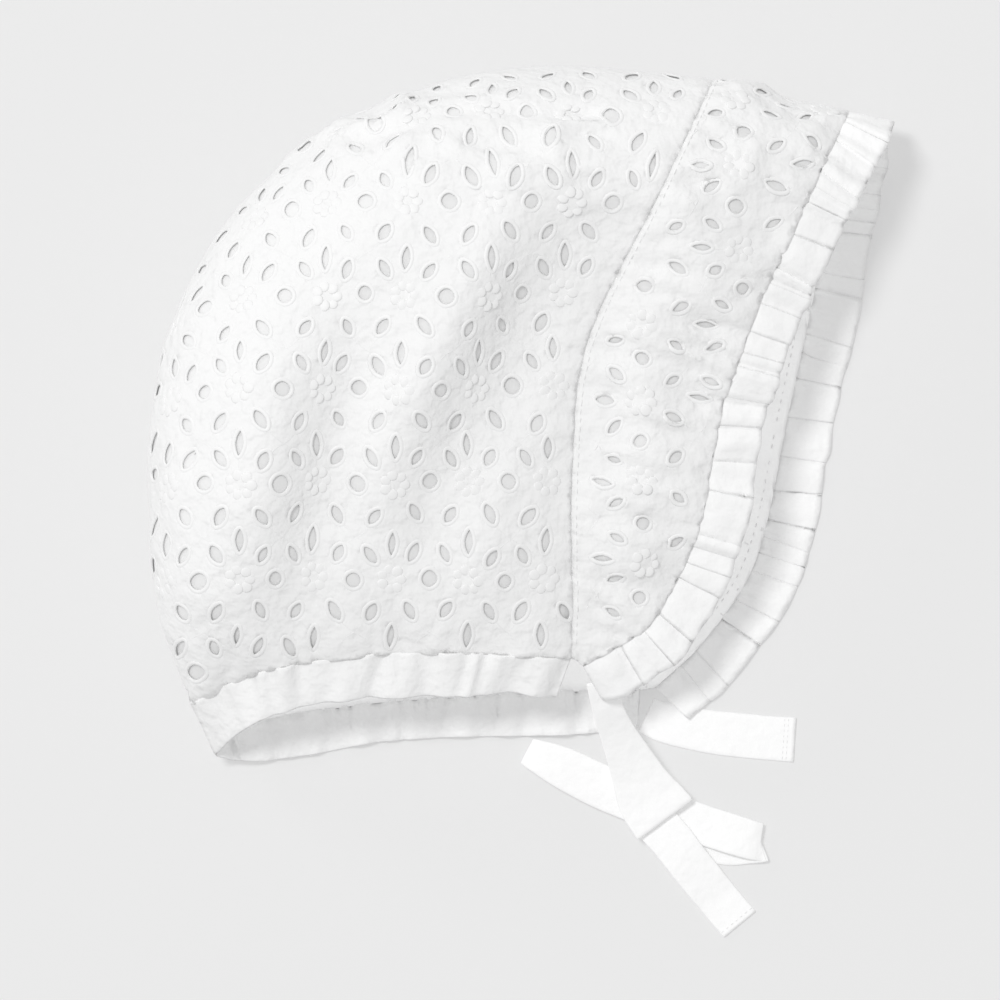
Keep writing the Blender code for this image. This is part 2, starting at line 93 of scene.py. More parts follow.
# How far a hoop bows towards the face, as shares of BONNET_DEPTH, at these shares of its plan length
BOW_STATIONS = (0.0, 0.25, 0.5, 0.75, 0.9, 1.0)
Bow = namedtuple(
    "Bow", "near_quarter near_middle near_lower near_end far_quarter far_middle far_lower far_end"
)
BOWS = [
    Bow(0.000, 0.017, 0.069, 0.060, 0.032, 0.057, 0.079, 0.046),
    Bow(-0.022, -0.032, 0.009, 0.020, 0.000, 0.005, 0.024, 0.017),
    Bow(-0.045, -0.080, -0.052, -0.019, -0.029, -0.047, -0.032, -0.013),
    Bow(-0.017, -0.029, -0.017, -0.006, -0.014, -0.023, -0.016, -0.006),
] + [Bow(0, 0, 0, 0, 0, 0, 0, 0)] * 6

# Neck edge of the band below hoops 2 to 9, in the same shares
NeckEdge = namedtuple("NeckEdge", "near_x near_y near_z far_x far_y far_z")
NECK_EDGES = [
    NeckEdge(0.182, -0.427, 0.38, 0.299, -0.477, 0.00),
    NeckEdge(0.129, -0.421, 0.43, 0.216, -0.488, 0.00),
    NeckEdge(0.057, -0.422, 0.47, 0.122, -0.491, 0.00),
    NeckEdge(-0.017, -0.427, 0.50, 0.029, -0.493, 0.00),
    NeckEdge(-0.108, -0.432, 0.52, -0.072, -0.501, 0.00),
    NeckEdge(-0.201, -0.448, 0.50, -0.180, -0.522, 0.00),
    NeckEdge(-0.266, -0.480, 0.38, -0.259, -0.531, 0.04),
    NeckEdge(-0.309, -0.522, 0.15, -0.309, -0.522, 0.15),
]

# Soft folds of the upper side: plan line as shares, width and depth as shares of the puff height
Fold = namedtuple("Fold", "top_x top_y low_x low_y width depth")
FOLDS = [
    Fold(0.24, 0.38, -0.01, -0.22, 0.13, -0.030),
    Fold(0.14, 0.40, -0.09, -0.10, 0.10, 0.018),
    Fold(-0.09, 0.20, -0.18, -0.30, 0.11, -0.026),
    Fold(0.09, 0.10, 0.06, -0.30, 0.10, 0.014),
    Fold(-0.23, 0.20, -0.26, -0.25, 0.11, 0.014),
    Fold(0.30, 0.42, 0.20, -0.10, 0.10, -0.016),
    Fold(0.34, 0.10, 0.28, -0.25, 0.09, 0.012),
]

# Thin cotton, as it looks
CLOTH_THICKNESS = 0.35 * MM
CLOTH_LIFT = 0.75 * MM
EDGE_DIP = 0.3 * MM
MESH_STEP_UPPER = 1.3 * MM
MESH_STEP_LOWER = 2.4 * MM

# Fineness of the hoop table, and of a half hoop where it turns down and where it runs on
HOOP_STEPS = 180
UPPER_STEPS = 90
LOWER_STEPS = 60
TURN_STEPS = 40
STRAIGHT_STEPS = 60

# Most of a half hoop that may turn down, on the near and on the far side, and how late the near side sags
MOST_ROUNDING = {True: 0.75, False: 0.80}
UPPER_SAG = 1.7

# Tables behind the noise
NOISE_CELLS = 1024
NOISE_STRIDES = np.array((73, 179, 283))

SAME_PLACE = 0.01 * MM
UV_PER_METRE = 10
TUBE_ROUND = 0.02


# -------- node trees

class Wire:
    """A node socket for use in a Python expression: each operator adds its Math node."""

    def __init__(self, graph, socket):
        self.graph, self.socket = graph, socket

    def __add__(self, other):
        return self.graph.math("ADD", self, other)

    def __radd__(self, other):
        return self.graph.math("ADD", other, self)

    def __sub__(self, other):
        return self.graph.math("SUBTRACT", self, other)

    def __rsub__(self, other):
        return self.graph.math("SUBTRACT", other, self)

    def __mul__(self, other):
        return self.graph.math("MULTIPLY", self, other)

    def __rmul__(self, other):
        return self.graph.math("MULTIPLY", other, self)

    def __gt__(self, other):
        return self.graph.math("GREATER_THAN", self, other)


class Graph:
    """Adds nodes to a tree. add() is the one way in: a type, its settings and its sockets."""

    def __init__(self, tree):
        self.tree = tree

    def add(self, kind, settings=None, sockets=None, output=0):
        node = self.tree.nodes.new(kind)
        for name, value in (settings or {}).items():
            if name == "bends":
                bends = node.mapping.curves[0].points
                for place in value[1:-1]:
                    bends.new(*place)
                bends[0].location, bends[len(bends) - 1].location = value[0], value[-1]
                for bend in bends:
                    bend.handle_type = "VECTOR"
                node.mapping.update()
            else:
                setattr(node, name, value)
        self.put(node, sockets or {})
        return Wire(self, node.outputs[output]) if len(node.outputs) else node

    def put(self, node, sockets):
        """Links the node's sockets to wires, or gives them values."""
        for name, value in sockets.items():
            if isinstance(value, Wire):
                self.tree.links.new(value.socket, node.inputs[name])
            else:
                node.inputs[name].default_value = value

    def math(self, operation, *values):
        return self.add("ShaderNodeMath", {"operation": operation}, dict(enumerate(values)))

    def vector(self, operation, *values, output=0):
        return self.add("ShaderNodeVectorMath", {"operation": operation}, dict(enumerate(values)), output)


# -------- the bonnet's surface

def unit(rows):
    """Vectors, one to a row, at length 1."""
    return rows / np.linalg.norm(rows, axis=1, keepdims=True)


def lengths_along(line):
    """Length of a line from its start to each of its points."""
    return np.append(0, np.cumsum(np.linalg.norm(np.diff(line, axis=0), axis=1)))


def smooth(value):
    """From 0 at 0 to 1 at 1, level at both ends."""
    value = np.clip(value, 0, 1)
    return value * value * (3 - 2 * value)


def pinched(turns):
    """A wave from -1 to 1 with round tops and sharp valleys, as gathered cloth has."""
    return 2 * np.abs(np.sin(math.pi * turns)) - 1


def curve_through(stations, values, at):
    """Smooth values at places between stations, by cubic Hermite pieces."""
    stations, values = np.asarray(stations, float), np.asarray(values, float)
    numbers = np.arange(len(stations))
    low, high = np.maximum(numbers - 1, 0), np.minimum(numbers + 1, len(stations) - 1)
    slopes = (values[high] - values[low]) / (stations[high] - stations[low])
    i = np.clip(np.searchsorted(stations, at, side="right") - 1, 0, len(stations) - 2)
    step = stations[i + 1] - stations[i]
    u = (at - stations[i]) / step
    v = 1 - u
    ends = values[i] * v * v * (1 + 2 * u) + values[i + 1] * u * u * (3 - 2 * u)
    return ends + slopes[i] * step * u * v * v - slopes[i + 1] * step * u * u * v


def blended_row(table, at, first=0):
    """A row of a table of named rows at a place between them."""
    stations = first + np.arange(len(table))
    return type(table[0])(*(float(curve_through(stations, column, at)) for column in zip(*table)))


def plan(x_share, y_share):
    return np.array((x_share * BONNET_DEPTH, y_share * BONNET_HEIGHT))


def height(z_share):
    return CLOTH_WALL + z_share * PUFF_HEIGHT


def noise(points, size, seed):
    """Smooth noise from -1 to 1 at an array of points, with bumps of about one size."""
    points = np.asarray(points, float) / size
    base = np.floor(points).astype(int)
    part = points - base
    part = part * part * (3 - 2 * part)
    table = np.random.RandomState(seed).uniform(-1, 1, NOISE_CELLS)
    result = 0
    for corner in np.ndindex(*(2,) * points.shape[-1]):
        cell = base + corner
        code = (cell * NOISE_STRIDES[: points.shape[-1]]).sum(-1) % NOISE_CELLS
        weight = np.where(corner, part, 1 - part).prod(-1)
        result = result + table[code] * weight
    return result


def fold_rise(places):
    """How far the soft folds lift the cloth at an array of plan places."""
    rise = 0
    for fold in FOLDS:
        top, low = plan(fold.top_x, fold.top_y), plan(fold.low_x, fold.low_y)
        run = low - top
        share = (places - top) @ run / (run @ run)
        beside = np.linalg.norm(places - top - share[:, None] * run, axis=1)
        beside = beside / (fold.width * BONNET_DEPTH / 2)
        ends = np.clip(2.5 * (share + 0.1), 0, 1) * np.clip(2.5 * (1.1 - share), 0, 1)
        rise = rise + fold.depth * PUFF_HEIGHT * np.exp(-beside * beside) * ends
    return rise


def half_hoop(t, near, steps):
    """Places and flat places of one half of a hoop, at equal steps from the ridge to its neck end.
    The flat place is the plan place, pushed outwards beyond the crest by the cloth that turns down."""
    row, bow = blended_row(HOOPS, t), blended_row(BOWS, t)
    ridge = plan(row.ridge_x, row.ridge_y)
    end = plan(row.near_x, row.near_y) if near else plan(row.far_x, row.far_y)
    bows = (0, *(bow[:4] if near else bow[4:]), 0)
    run = end - ridge
    length = max(np.linalg.norm(run), 1e-9)
    forward = np.array((-run[1], run[0])) / length
    rounding = UPPER_ROUNDING * row.near_round if near else LOWER_ROUNDING * row.far_round
    rounding = min(rounding, MOST_ROUNDING[near] * length)
    turn = rounding * (1 - np.cos(np.linspace(0, math.pi / 2, TURN_STEPS, endpoint=False)))
    distance = np.concatenate((turn, np.linspace(rounding, length, STRAIGHT_STEPS)))
    share = distance / length
    places = ridge + share[:, None] * run
    places = places + (curve_through(BOW_STATIONS, bows, share) * BONNET_DEPTH)[:, None] * forward
    ridge_z, crest_z, near_z, far_z = map(height, (row.ridge_z, row.crest_z, row.near_z, row.far_z))
    before = np.clip(1 - distance / max(rounding, 1e-9), 0, 1)
    turned = np.sqrt(1 - before * before)
    if near:
        after = np.clip((distance - rounding) / max(length - rounding, 1e-9), 0, 1)
        z = ridge_z + (crest_z - ridge_z) * turned + (near_z - crest_z) * after**UPPER_SAG
        z = z + fold_rise(places) * turned**3
        fade = np.exp(-(((length - distance) / GATHER_REACH) ** 2)) * min(1.0, LAST_HOOP - t)
        z = z + GATHER_DEPTH * math.sin(2 * math.pi * end[0] / GATHER_LENGTH) * fade
    else:
        z = np.maximum(CLOTH_WALL, far_z + (ridge_z - far_z) * (1 - turned))
    points = np.column_stack((places, z))
    steps_3d = np.linalg.norm(np.diff(points, axis=0), axis=1)
    steps_2d = np.linalg.norm(np.diff(places, axis=0), axis=1)
    extra = np.where(distance[1:] <= rounding, steps_3d - steps_2d, 0)
    beyond = np.append(np.cumsum(extra[::-1])[::-1], 0)
    flat = places - beyond[:, None] * run / length
    lengths = np.append(0, np.cumsum(steps_3d))
    wanted = np.linspace(0, lengths[-1], steps + 1)
    table = np.column_stack((points, flat))
    return np.column_stack([np.interp(wanted, lengths, column) for column in table.T]), lengths[-1]


def read_table(table, row, column):
    """Values of a table at places between its rows and columns."""
    rows, columns = table.shape[0] - 1, table.shape[1] - 1
    row, column = np.clip(row, 0, rows), np.clip(column, 0, columns)
    i, j = np.minimum(row.astype(int), rows - 1), np.minimum(column.astype(int), columns - 1)
    a, b = row - i, column - j
    if table.ndim == 3:
        a, b = a[..., None], b[..., None]
    top = table[i, j] * (1 - b) + table[i, j + 1] * b
    low = table[i + 1, j] * (1 - b) + table[i + 1, j + 1] * b
    return top * (1 - a) + low * a


class Surface:
    """The bonnet as a fine table over hoop number and h, with its normals and flat places."""

    def __init__(self):
        self.hoops = np.linspace(0, LAST_HOOP, HOOP_STEPS + 1)
        upper = [half_hoop(t, True, UPPER_STEPS) for t in self.hoops]
        lower = [half_hoop(t, False, LOWER_STEPS) for t in self.hoops]
        (upper_table, upper_length), (lower_table, lower_length) = (
            [np.array(values) for values in zip(*side)] for side in (upper, lower)
        )
        lower_table = lower_table[:, ::-1]
        self.points = np.concatenate((lower_table[:, :-1, :3], upper_table[:, :, :3]), axis=1)
        self.flat = {True: upper_table[:, :, 3:], False: lower_table[:, :, 3:]}
        self.length = {True: upper_length, False: lower_length}
        across = np.gradient(self.points, axis=0)
        along = np.gradient(self.points, axis=1)
        self.row_step = np.linalg.norm(across, axis=2) * HOOP_STEPS / LAST_HOOP
        normals = np.cross(across, along)
        size = np.linalg.norm(normals, axis=2, keepdims=True)
        normals[-1] = normals[-4]
        size[-1] = size[-4]
        self.normals = normals / np.maximum(size, 1e-15)
        self.finders = {near: self.finder(near) for near in (True, False)}

    def finder(self, near):
        """A search tree over the flat places of one side, and the table place of each corner."""
        flat = self.flat[near]
        rows, columns = flat.shape[:2]
        corners = [Vector((x * 1000, y * 1000, 0)) for x, y in flat.reshape(-1, 2)]
        number = np.arange(rows * columns).reshape(rows, columns)
        a, b = number[:-1, :-1].ravel(), number[1:, :-1].ravel()
        c, d = number[1:, 1:].ravel(), number[:-1, 1:].ravel()
        faces = np.concatenate((np.column_stack((a, b, c)), np.column_stack((a, c, d))))
        return BVHTree.FromPolygons(corners, faces.tolist(), all_triangles=True), faces

    def read(self, table, t, h):
        """Values of a table over the whole bonnet."""
        h = np.asarray(h, float)
        column = LOWER_STEPS + np.where(h >= 0, h * UPPER_STEPS, h * LOWER_STEPS)
        return read_table(table, np.asarray(t, float) / LAST_HOOP * HOOP_STEPS, column)

    def read_flat(self, near, t, h):
        """Flat places on one side."""
        h = np.asarray(h, float)
        column = h * UPPER_STEPS if near else (1 + h) * LOWER_STEPS
        return read_table(self.flat[near], np.asarray(t, float) / LAST_HOOP * HOOP_STEPS, column)

    def place(self, t, h):
        """Points of the bonnet's surface, and its normals there."""
        return self.read(self.points, t, h), self.read(self.normals, t, h)

    def place_of(self, near, flat_points):
        """Hoop number and h of flat places on one side."""
        tree, faces = self.finders[near]
        steps = UPPER_STEPS if near else LOWER_STEPS
        flat = self.flat[near].reshape(-1, 2) * 1000
        t_of, h_of = np.empty(len(flat_points)), np.empty(len(flat_points))
        for k, (x, y) in enumerate(flat_points):
            spot, way, face, far = tree.find_nearest(Vector((x * 1000, y * 1000, 0)))
            a, b, c = (int(v) for v in faces[face])
            pa, pb, pc = flat[a], flat[b], flat[c]
            to_b, to_c, to_spot = pb - pa, pc - pa, (spot.x - pa[0], spot.y - pa[1])
            whole = to_b[0] * to_c[1] - to_c[0] * to_b[1]
            wb = wc = 0.0
            if abs(whole) >= 1e-12:
                wb = (to_spot[0] * to_c[1] - to_c[0] * to_spot[1]) / whole
                wc = (to_b[0] * to_spot[1] - to_spot[0] * to_b[1]) / whole
            places = [divmod(v, steps + 1) for v in (a, b, c)]
            weights = (1 - wb - wc, wb, wc)
            t_of[k] = sum(w * p[0] for w, p in zip(weights, places)) / HOOP_STEPS * LAST_HOOP
            column = sum(w * p[1] for w, p in zip(weights, places)) / steps
            h_of[k] = column if near else column - 1
        return t_of, h_of


bonnet = Surface()


def hoop_length(t, h):
    """Length of the half hoop that a place lies on."""
    upper, lower = (np.interp(t, bonnet.hoops, bonnet.length[near]) for near in (True, False))
    return np.where(np.asarray(h) >= 0, upper, lower)


def ruck(t, h, groove=0.9 * MM):
    """How far small wrinkles lift the cloth: gathers along the seams, and crumples along the top.
    The groove of the seam between brim and crown has the width given."""
    t, h = np.asarray(t, float), np.asarray(h, float)
    points, row_step = bonnet.read(bonnet.points, t, h), bonnet.read(bonnet.row_step, t, h)
    along, neck = h * hoop_length(t, h), (1 - np.abs(h)) * hoop_length(t, h)
    seam, stitch_line = np.abs(t - SEAM_HOOP) * row_step, t * row_step
    # Broad and small bumps all over, the soft folds again, and slanting rumples of the upper side
    wander = noise(points, 9 * MM, 3)
    beat = noise(points, 14 * MM, 4)
    rise = 0.6 * MM * noise(points, 17 * MM, 1) + 0.45 * MM * noise(points, 7 * MM, 2)
    upper = smooth(3 * h)
    rise = rise + 2.4 * upper * fold_rise(points[..., :2].reshape(-1, 2)).reshape(points.shape[:-1])
    slanted = points @ np.array(((0.92, 0.2, 0), (0.38, 0.15, 0), (0, 0.2, 0.3)))
    rise = rise + 1.0 * MM * upper * noise(slanted, 11 * MM, 12)
    # Gathers beside the seam and the ruffle, the seam's groove, and drawn cloth on the brim
    on_brim = smooth((SEAM_HOOP - t) * row_step / (7 * MM))
    seam_gathers = pinched(along / (6.8 * MM) + 0.7 * wander) * (0.65 + 0.35 * beat)
    rise = rise + (0.55 + 0.35 * on_brim) * MM * seam_gathers * np.exp(-seam / ((4 + 4 * on_brim) * MM))
    edge_gathers = pinched(along / (6.2 * MM) + 0.9 * wander) * (0.7 + 0.3 * beat)
    rise = rise + 1.0 * MM * edge_gathers * np.exp(-stitch_line / (10 * MM))
    rise = rise - 0.55 * MM * np.exp(-((seam / groove) ** 2))
    drag = points @ np.array(((0.9, 0.25, 0), (-0.35, 0.8, 0), (0, 0, 0.8)))
    rise = rise + 1.5 * MM * on_brim * (1 - 2 * np.abs(noise(drag * (0.45, 1.7, 1.0), 8 * MM, 8)))
    # Gathers above the neck band, and creases along the top of the crown
    gathers = pinched(points[..., 0] / (8.5 * MM) + 0.6 * wander)
    rise = rise + 0.75 * MM * gathers * (0.6 + 0.4 * beat) * np.exp(-neck / (9 * MM))
    x, y, z = points[..., 0], points[..., 1], points[..., 2]
    off_ridge = (y - (72 * MM - 0.12 * x)) / (12 * MM)
    top = np.exp(-(((x - 15 * MM) / (55 * MM)) ** 4)) * np.exp(-(off_ridge**4))
    top = top * smooth((z - 18 * MM) / (6 * MM))
    stretched = points * np.array((0.55, 1.25, 0.8))
    creases = 1 - 2 * np.abs(noise(stretched, 7 * MM, 5))
    return rise + top * (2.1 * MM * creases + 1.2 * MM * noise(stretched, 11 * MM, 6))


def on_cloth(t, h, lift, lowest=0.25 * MM):
    """Places on the rucked outer cloth, lifted off its middle line. It dips to the ruffle's seam."""
    t, h = np.asarray(t, float), np.asarray(h, float)
    points, normals = bonnet.place(t, h)
    edge = EDGE_DIP * np.exp(-((t * bonnet.read(bonnet.row_step, t, h) / (1.5 * MM)) ** 2))
    points = points + normals * (lift - edge + ruck(t, h))[..., None]
    points[..., 2] = np.maximum(points[..., 2], lowest)
    return points


# -------- eyelet pattern

# One flower, in metres from its middle: place, turn in degrees, length and width of each petal
Petal = namedtuple("Petal", "x y turn length width")
PETALS = [
    Petal(0.3 * MM, 9.3 * MM, 88, 5.9 * MM, 2.1 * MM),
    Petal(-5.1 * MM, 6.2 * MM, 118, 4.8 * MM, 2.6 * MM),
    Petal(5.7 * MM, 6.2 * MM, 62, 4.8 * MM, 2.6 * MM),
    Petal(-5.1 * MM, -8.1 * MM, 60, 4.9 * MM, 2.7 * MM),
    Petal(5.0 * MM, -7.8 * MM, 119, 4.9 * MM, 2.7 * MM),
]
FLOWER_COLUMNS = range(-9, 12)
FLOWER_ROWS = range(-6, 9)
ROUND_EYELET = 4.1 * MM
EYELET_CORNERS = 16
EYELET_MARGIN = 0.8 * MM
BRIM_EYELET_SHARE = 0.84

# How unevenly the eyelets are worked: share of their size, place, and turn in degrees
EYELET_GROWTH = 0.06
EYELET_SHIFT = 0.22 * MM
EYELET_TURN = 4

# Points between the eyelets, in shares of the mesh step: pitch of rows, stray, and distance from a rim
GRID_ROW_PITCH = 0.866
GRID_STRAY = 0.12
GRID_CLEARANCE = 0.6

CROWN_ROW_PITCH = 23.4 * MM
CROWN_COLUMN_PITCH = 18.9 * MM
CROWN_PITCH_GAIN = 1.1 * MM
CROWN_FIRST = np.array((-38.0, -36.75)) * MM
CROWN_LEAN = 0.03
BRIM_FIRST = np.array((53.0, -12.5)) * MM
BRIM_ROW_PITCH = 23.75 * MM
BRIM_COLUMN_PITCH = 19.6 * MM
STEM_WAYS = {
    "rosette": ((0.2, 5.9), (0.0, 4.0)),
    "left": ((-6.6, -10.9), (-8.6, -12.9), (-11.0, -14.3), (-12.3, -15.6)),
    "right": ((6.6, -10.6), (8.8, -12.4), (11.2, -14.0), (12.9, -15.3)),
}


def crown_lattice(column, row):
    """Middle of a flower of the crown, the turn of its pattern, and the pitch of the columns there."""
    y = CROWN_FIRST[1] + CROWN_ROW_PITCH * row
    pitch = CROWN_COLUMN_PITCH + CROWN_PITCH_GAIN * smooth((y + 12.5 * MM) / (45 * MM))
    x = CROWN_FIRST[0] + CROWN_LEAN * (y - CROWN_FIRST[1]) + (column + 0.5) * pitch
    return np.array((x, y)), 0.0, pitch


def brim_lattice(column, row):
    spot = BRIM_FIRST + np.array((-BRIM_ROW_PITCH * row, BRIM_COLUMN_PITCH * column))
    return spot, math.pi / 2, BRIM_COLUMN_PITCH


def turned(points, angle):
    c, s = math.cos(angle), math.sin(angle)
    return np.asarray(points) @ np.array(((c, s), (-s, c)))


def leaf(length, width):
    """Outline of an eyelet of this length and width."""
    around = np.linspace(0, 2 * math.pi, EYELET_CORNERS, endpoint=False)
    side = np.sin(around) * (0.86 + 0.14 * np.sin(around) ** 2)
    return np.column_stack((length / 2 * np.cos(around), width / 2 * side))


def strayed(points, on_brim):
    """Where gathering draws flat places of the pattern to."""
    points = np.atleast_2d(points)
    reach = 1.5 * MM if on_brim else 0.5 * MM + 1.6 * MM * smooth((points[:, 1:] - 50 * MM) / (25 * MM))
    stray = np.column_stack((noise(points, 15 * MM, 51), noise(points, 15 * MM, 52)))
    return points + reach * stray


def pattern(lattice):
    """Outlines of all eyelets, middles of the rosettes and lines of the stems, in flat places."""
    on_brim = lattice is brim_lattice
    scale = BRIM_EYELET_SHARE if on_brim else 1.0
    chance = np.random.RandomState(11)
    eyelets, rosettes, stems = [], [], []
    for column in FLOWER_COLUMNS:
        for row in FLOWER_ROWS:
            middle, turn, pitch = lattice(column, row)
            marks = [(p.x, p.y, p.turn, p.length, p.width) for p in PETALS]
            marks.append((pitch / 2, 0, 90, ROUND_EYELET, ROUND_EYELET * 0.96))
            for x, y, angle, length, width in marks:
                grow, off = scale * (1 + EYELET_GROWTH * chance.randn()), EYELET_SHIFT * chance.randn(2)
                angle = math.radians(angle + EYELET_TURN * chance.randn())
                outline = turned(leaf(length * grow, width * grow), angle) + (x, y) + off
                eyelets.append(strayed(middle + turned(outline, turn), on_brim))
            rosettes.append((strayed(middle, on_brim)[0], turn))
            for way in STEM_WAYS.values():
                stems.append(strayed(middle + turned(np.array(way) * MM, turn), on_brim))
    return eyelets, rosettes, stems


def inside(near, points, first_hoop, last_hoop):
    """Whether flat places lie on one side between two hoops, with their hoop numbers and h."""
    t, h = bonnet.place_of(near, points)
    off = np.linalg.norm(bonnet.read_flat(near, t, h) - points, axis=1)
    return (off < SAME_PLACE) & (t >= first_hoop) & (t <= last_hoop), t, h


def grown(outline, margin):
    """An outline moved outwards by a margin."""
    return outline + unit(outline - outline.mean(0)) * margin


# One side of a piece: points with their flat places and faces, and the embroidery's lines
Patch = namedtuple("Patch", "flat t h faces eyelets rosettes stems")


def cloth_patch(near, first_hoop, last_hoop, lattice, step):
    """Flat triangles of one side of a piece, cut out round its eyelets."""
    rows = bonnet.hoops[(bonnet.hoops >= first_hoop - 1e-6) & (bonnet.hoops <= last_hoop + 1e-6)]
    end = 1 if near else -1
    reach = np.linspace(0, end, (UPPER_STEPS if near else LOWER_STEPS) + 1)
    border = [(rows[0], h) for h in reach] + [(t, end) for t in rows[1:]]
    if last_hoop < LAST_HOOP:
        border += [(rows[-1], h) for h in reach[::-1][1:]]
    border += [(t, 0) for t in rows[::-1][1:-1]]
    border_t, border_h = np.array(border).T
    border_flat = bonnet.read_flat(near, border_t, border_h)

    eyelets, rosettes, stems = pattern(lattice)
    every = np.concatenate([grown(outline, EYELET_MARGIN) for outline in eyelets])
    held = inside(near, every, first_hoop, last_hoop)[0].reshape(len(eyelets), -1).all(1)
    eyelets = [outline for outline, keep in zip(eyelets, held) if keep]

    low, high = border_flat.min(0), border_flat.max(0)
    grid = []
    for k, y in enumerate(np.arange(low[1], high[1], step * GRID_ROW_PITCH)):
        xs = np.arange(low[0] + (k % 2) * step / 2, high[0], step)
        grid.append(np.column_stack((xs, np.full(len(xs), y))))
    grid = np.concatenate(grid)
    grid += np.random.RandomState(5).uniform(-GRID_STRAY, GRID_STRAY, grid.shape) * step
    grid = grid[inside(near, grid, first_hoop, last_hoop)[0]]
    tree = nearest_tree(np.concatenate([border_flat, *eyelets]))
    far = np.array([tree.find((x, y, 0))[2] for x, y in grid])
    grid = grid[far > GRID_CLEARANCE * step]
    for outline in eyelets:
        middle = outline.mean(0)
        rim = outline - middle
        rim_reach = np.linalg.norm(rim, axis=1)
        close = np.linalg.norm(grid - middle, axis=1) < rim_reach.max()
        if close.any():
            away = grid[close] - middle
            rim_angles = np.arctan2(rim[:, 1], rim[:, 0])
            order = np.argsort(rim_angles)
            angles = np.arctan2(away[:, 1], away[:, 0])
            limit = np.interp(angles, rim_angles[order], rim_reach[order], period=2 * math.pi)
            grid = np.delete(grid, np.flatnonzero(close)[np.linalg.norm(away, axis=1) < limit], axis=0)

    flat = np.concatenate([border_flat, *eyelets, grid])
    loops, first = [list(range(len(border)))], len(border)
    owner = np.full(len(flat), -1)
    for number, outline in enumerate(eyelets):
        loops.append(list(range(first, first + len(outline))))
        owner[first : first + len(outline)] = number
        first += len(outline)
    edges = [(loop[k - 1], loop[k]) for loop in loops for k in range(len(loop))]
    solved = delaunay_2d_cdt([Vector(p) for p in flat * 1000], edges, [loops[0]], 1, 1e-5, True)
    places, faces, origins = np.array([tuple(v) for v in solved[0]]) / 1000, solved[2], solved[3]
    source = np.array([origin[0] if origin else -1 for origin in origins])
    faces = np.array(faces)
    owners = np.where(source >= 0, owner[source], -1)[faces]
    in_eyelet = (owners[:, 0] >= 0) & (owners[:, 0] == owners[:, 1]) & (owners[:, 1] == owners[:, 2])
    known = (source >= 0) & (source < len(border))
    t, h = bonnet.place_of(near, places)
    t[known], h[known] = border_t[source[known]], border_h[source[known]]
    sliver = (np.ptp(t[faces], axis=1) == 0) | (np.ptp(h[faces], axis=1) == 0)
    sliver |= ~inside(near, places[faces].mean(1), first_hoop, last_hoop)[0]
    faces = faces[~in_eyelet & ~(known[faces].all(1) & sliver)]
    return Patch(places, t, h, faces, eyelets, rosettes, stems)


def nearest_tree(points):
    tree = KDTree(len(points))
    for k, (x, y) in enumerate(points):
        tree.insert((x, y, 0), k)
    tree.balance()
    return tree


# -------- meshes

def mesh_of(name, points, faces=(), edges=(), uv=None, **attributes):
    """A mesh with vector or number attributes on its points, and a UV map of flat places."""
    mesh = bpy.data.meshes.new(name)
    lists = (np.asarray(points, float), np.asarray(edges, int), np.asarray(faces, int))
    mesh.from_pydata(*(values.tolist() for values in lists))
    for attribute, values in attributes.items():
        values = np.asarray(values, float)
        kind, field = ("FLOAT_VECTOR", "vector") if values.ndim == 2 else ("FLOAT", "value")
        mesh.attributes.new(attribute, kind, "POINT").data.foreach_set(field, values.ravel())
    if uv is not None:
        lay_flat(mesh, uv)
    mesh.shade_smooth()
    return mesh


def lay_flat(mesh, places):
    """Gives a mesh a UV map of the flat places of its points."""
    corners = np.empty(len(mesh.loops), int)
    mesh.loops.foreach_get("vertex_index", corners)
    layer = mesh.uv_layers.new(name="flat")
    layer.data.foreach_set("uv", (np.asarray(places)[corners] * UV_PER_METRE + 0.5).ravel())


def merge_doubles(mesh):
    """Joins the points of a mesh that share a place, where its sides or its hoops meet."""
    work = bmesh.new()
    work.from_mesh(mesh)
    bmesh.ops.remove_doubles(work, verts=work.verts, dist=SAME_PLACE)
    work.to_mesh(mesh)
    work.free()


def closed_mesh(name, points, lengths):
    """A closed tube of cloth from its rings of points, with caps and with faces turned outwards."""
    n, ring = points.shape[:2]
    mesh = bpy.data.meshes.new(name)
    caps = [list(range(ring)), [(n - 1) * ring + k for k in range(ring)][::-1]]
    mesh.from_pydata(points.reshape(-1, 3).tolist(), [], grid_faces(n, ring, closed=True).tolist() + caps)
    work = bmesh.new()
    work.from_mesh(mesh)
    bmesh.ops.triangulate(work, faces=[face for face in work.faces if len(face.verts) > 4])
    bmesh.ops.recalc_face_normals(work, faces=work.faces)
    work.to_mesh(mesh)
    work.free()
    around = np.tile(np.arange(ring) / ring * TUBE_ROUND, n)
    lay_flat(mesh, np.column_stack((np.repeat(lengths, ring), around)))
    mesh.shade_smooth()
    return mesh


def linked(name, data):
    """A new object in the scene."""
    thing = bpy.data.objects.new(name, data)
    bpy.context.scene.collection.objects.link(thing)
    return thing


def add_piece(name, mesh, material, node):
    """Puts a mesh in the scene on the root body, in place of a CAD node."""
    piece = linked(name, mesh)
    if material is not None:
        mesh.materials.clear()
        mesh.materials.append(material)
    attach(piece, "root")
    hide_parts(node)
    return piece


def thicken(piece, wall):
    """Gives the cloth its thickness, half to each side."""
    shell = piece.modifiers.new("Cloth", "SOLIDIFY")
    shell.thickness = wall
    shell.offset = 0.0
    shell.use_quality_normals = True


def grid_faces(rows, columns, closed=False):
    number = np.arange(rows * columns).reshape(rows, columns)
    after = np.roll(number, -1, axis=1) if closed else number[:, 1:]
    here = number if closed else number[:, :-1]
    corners = (here[:-1], after[:-1], after[1:], here[1:])
    return np.column_stack([c.ravel() for c in corners])


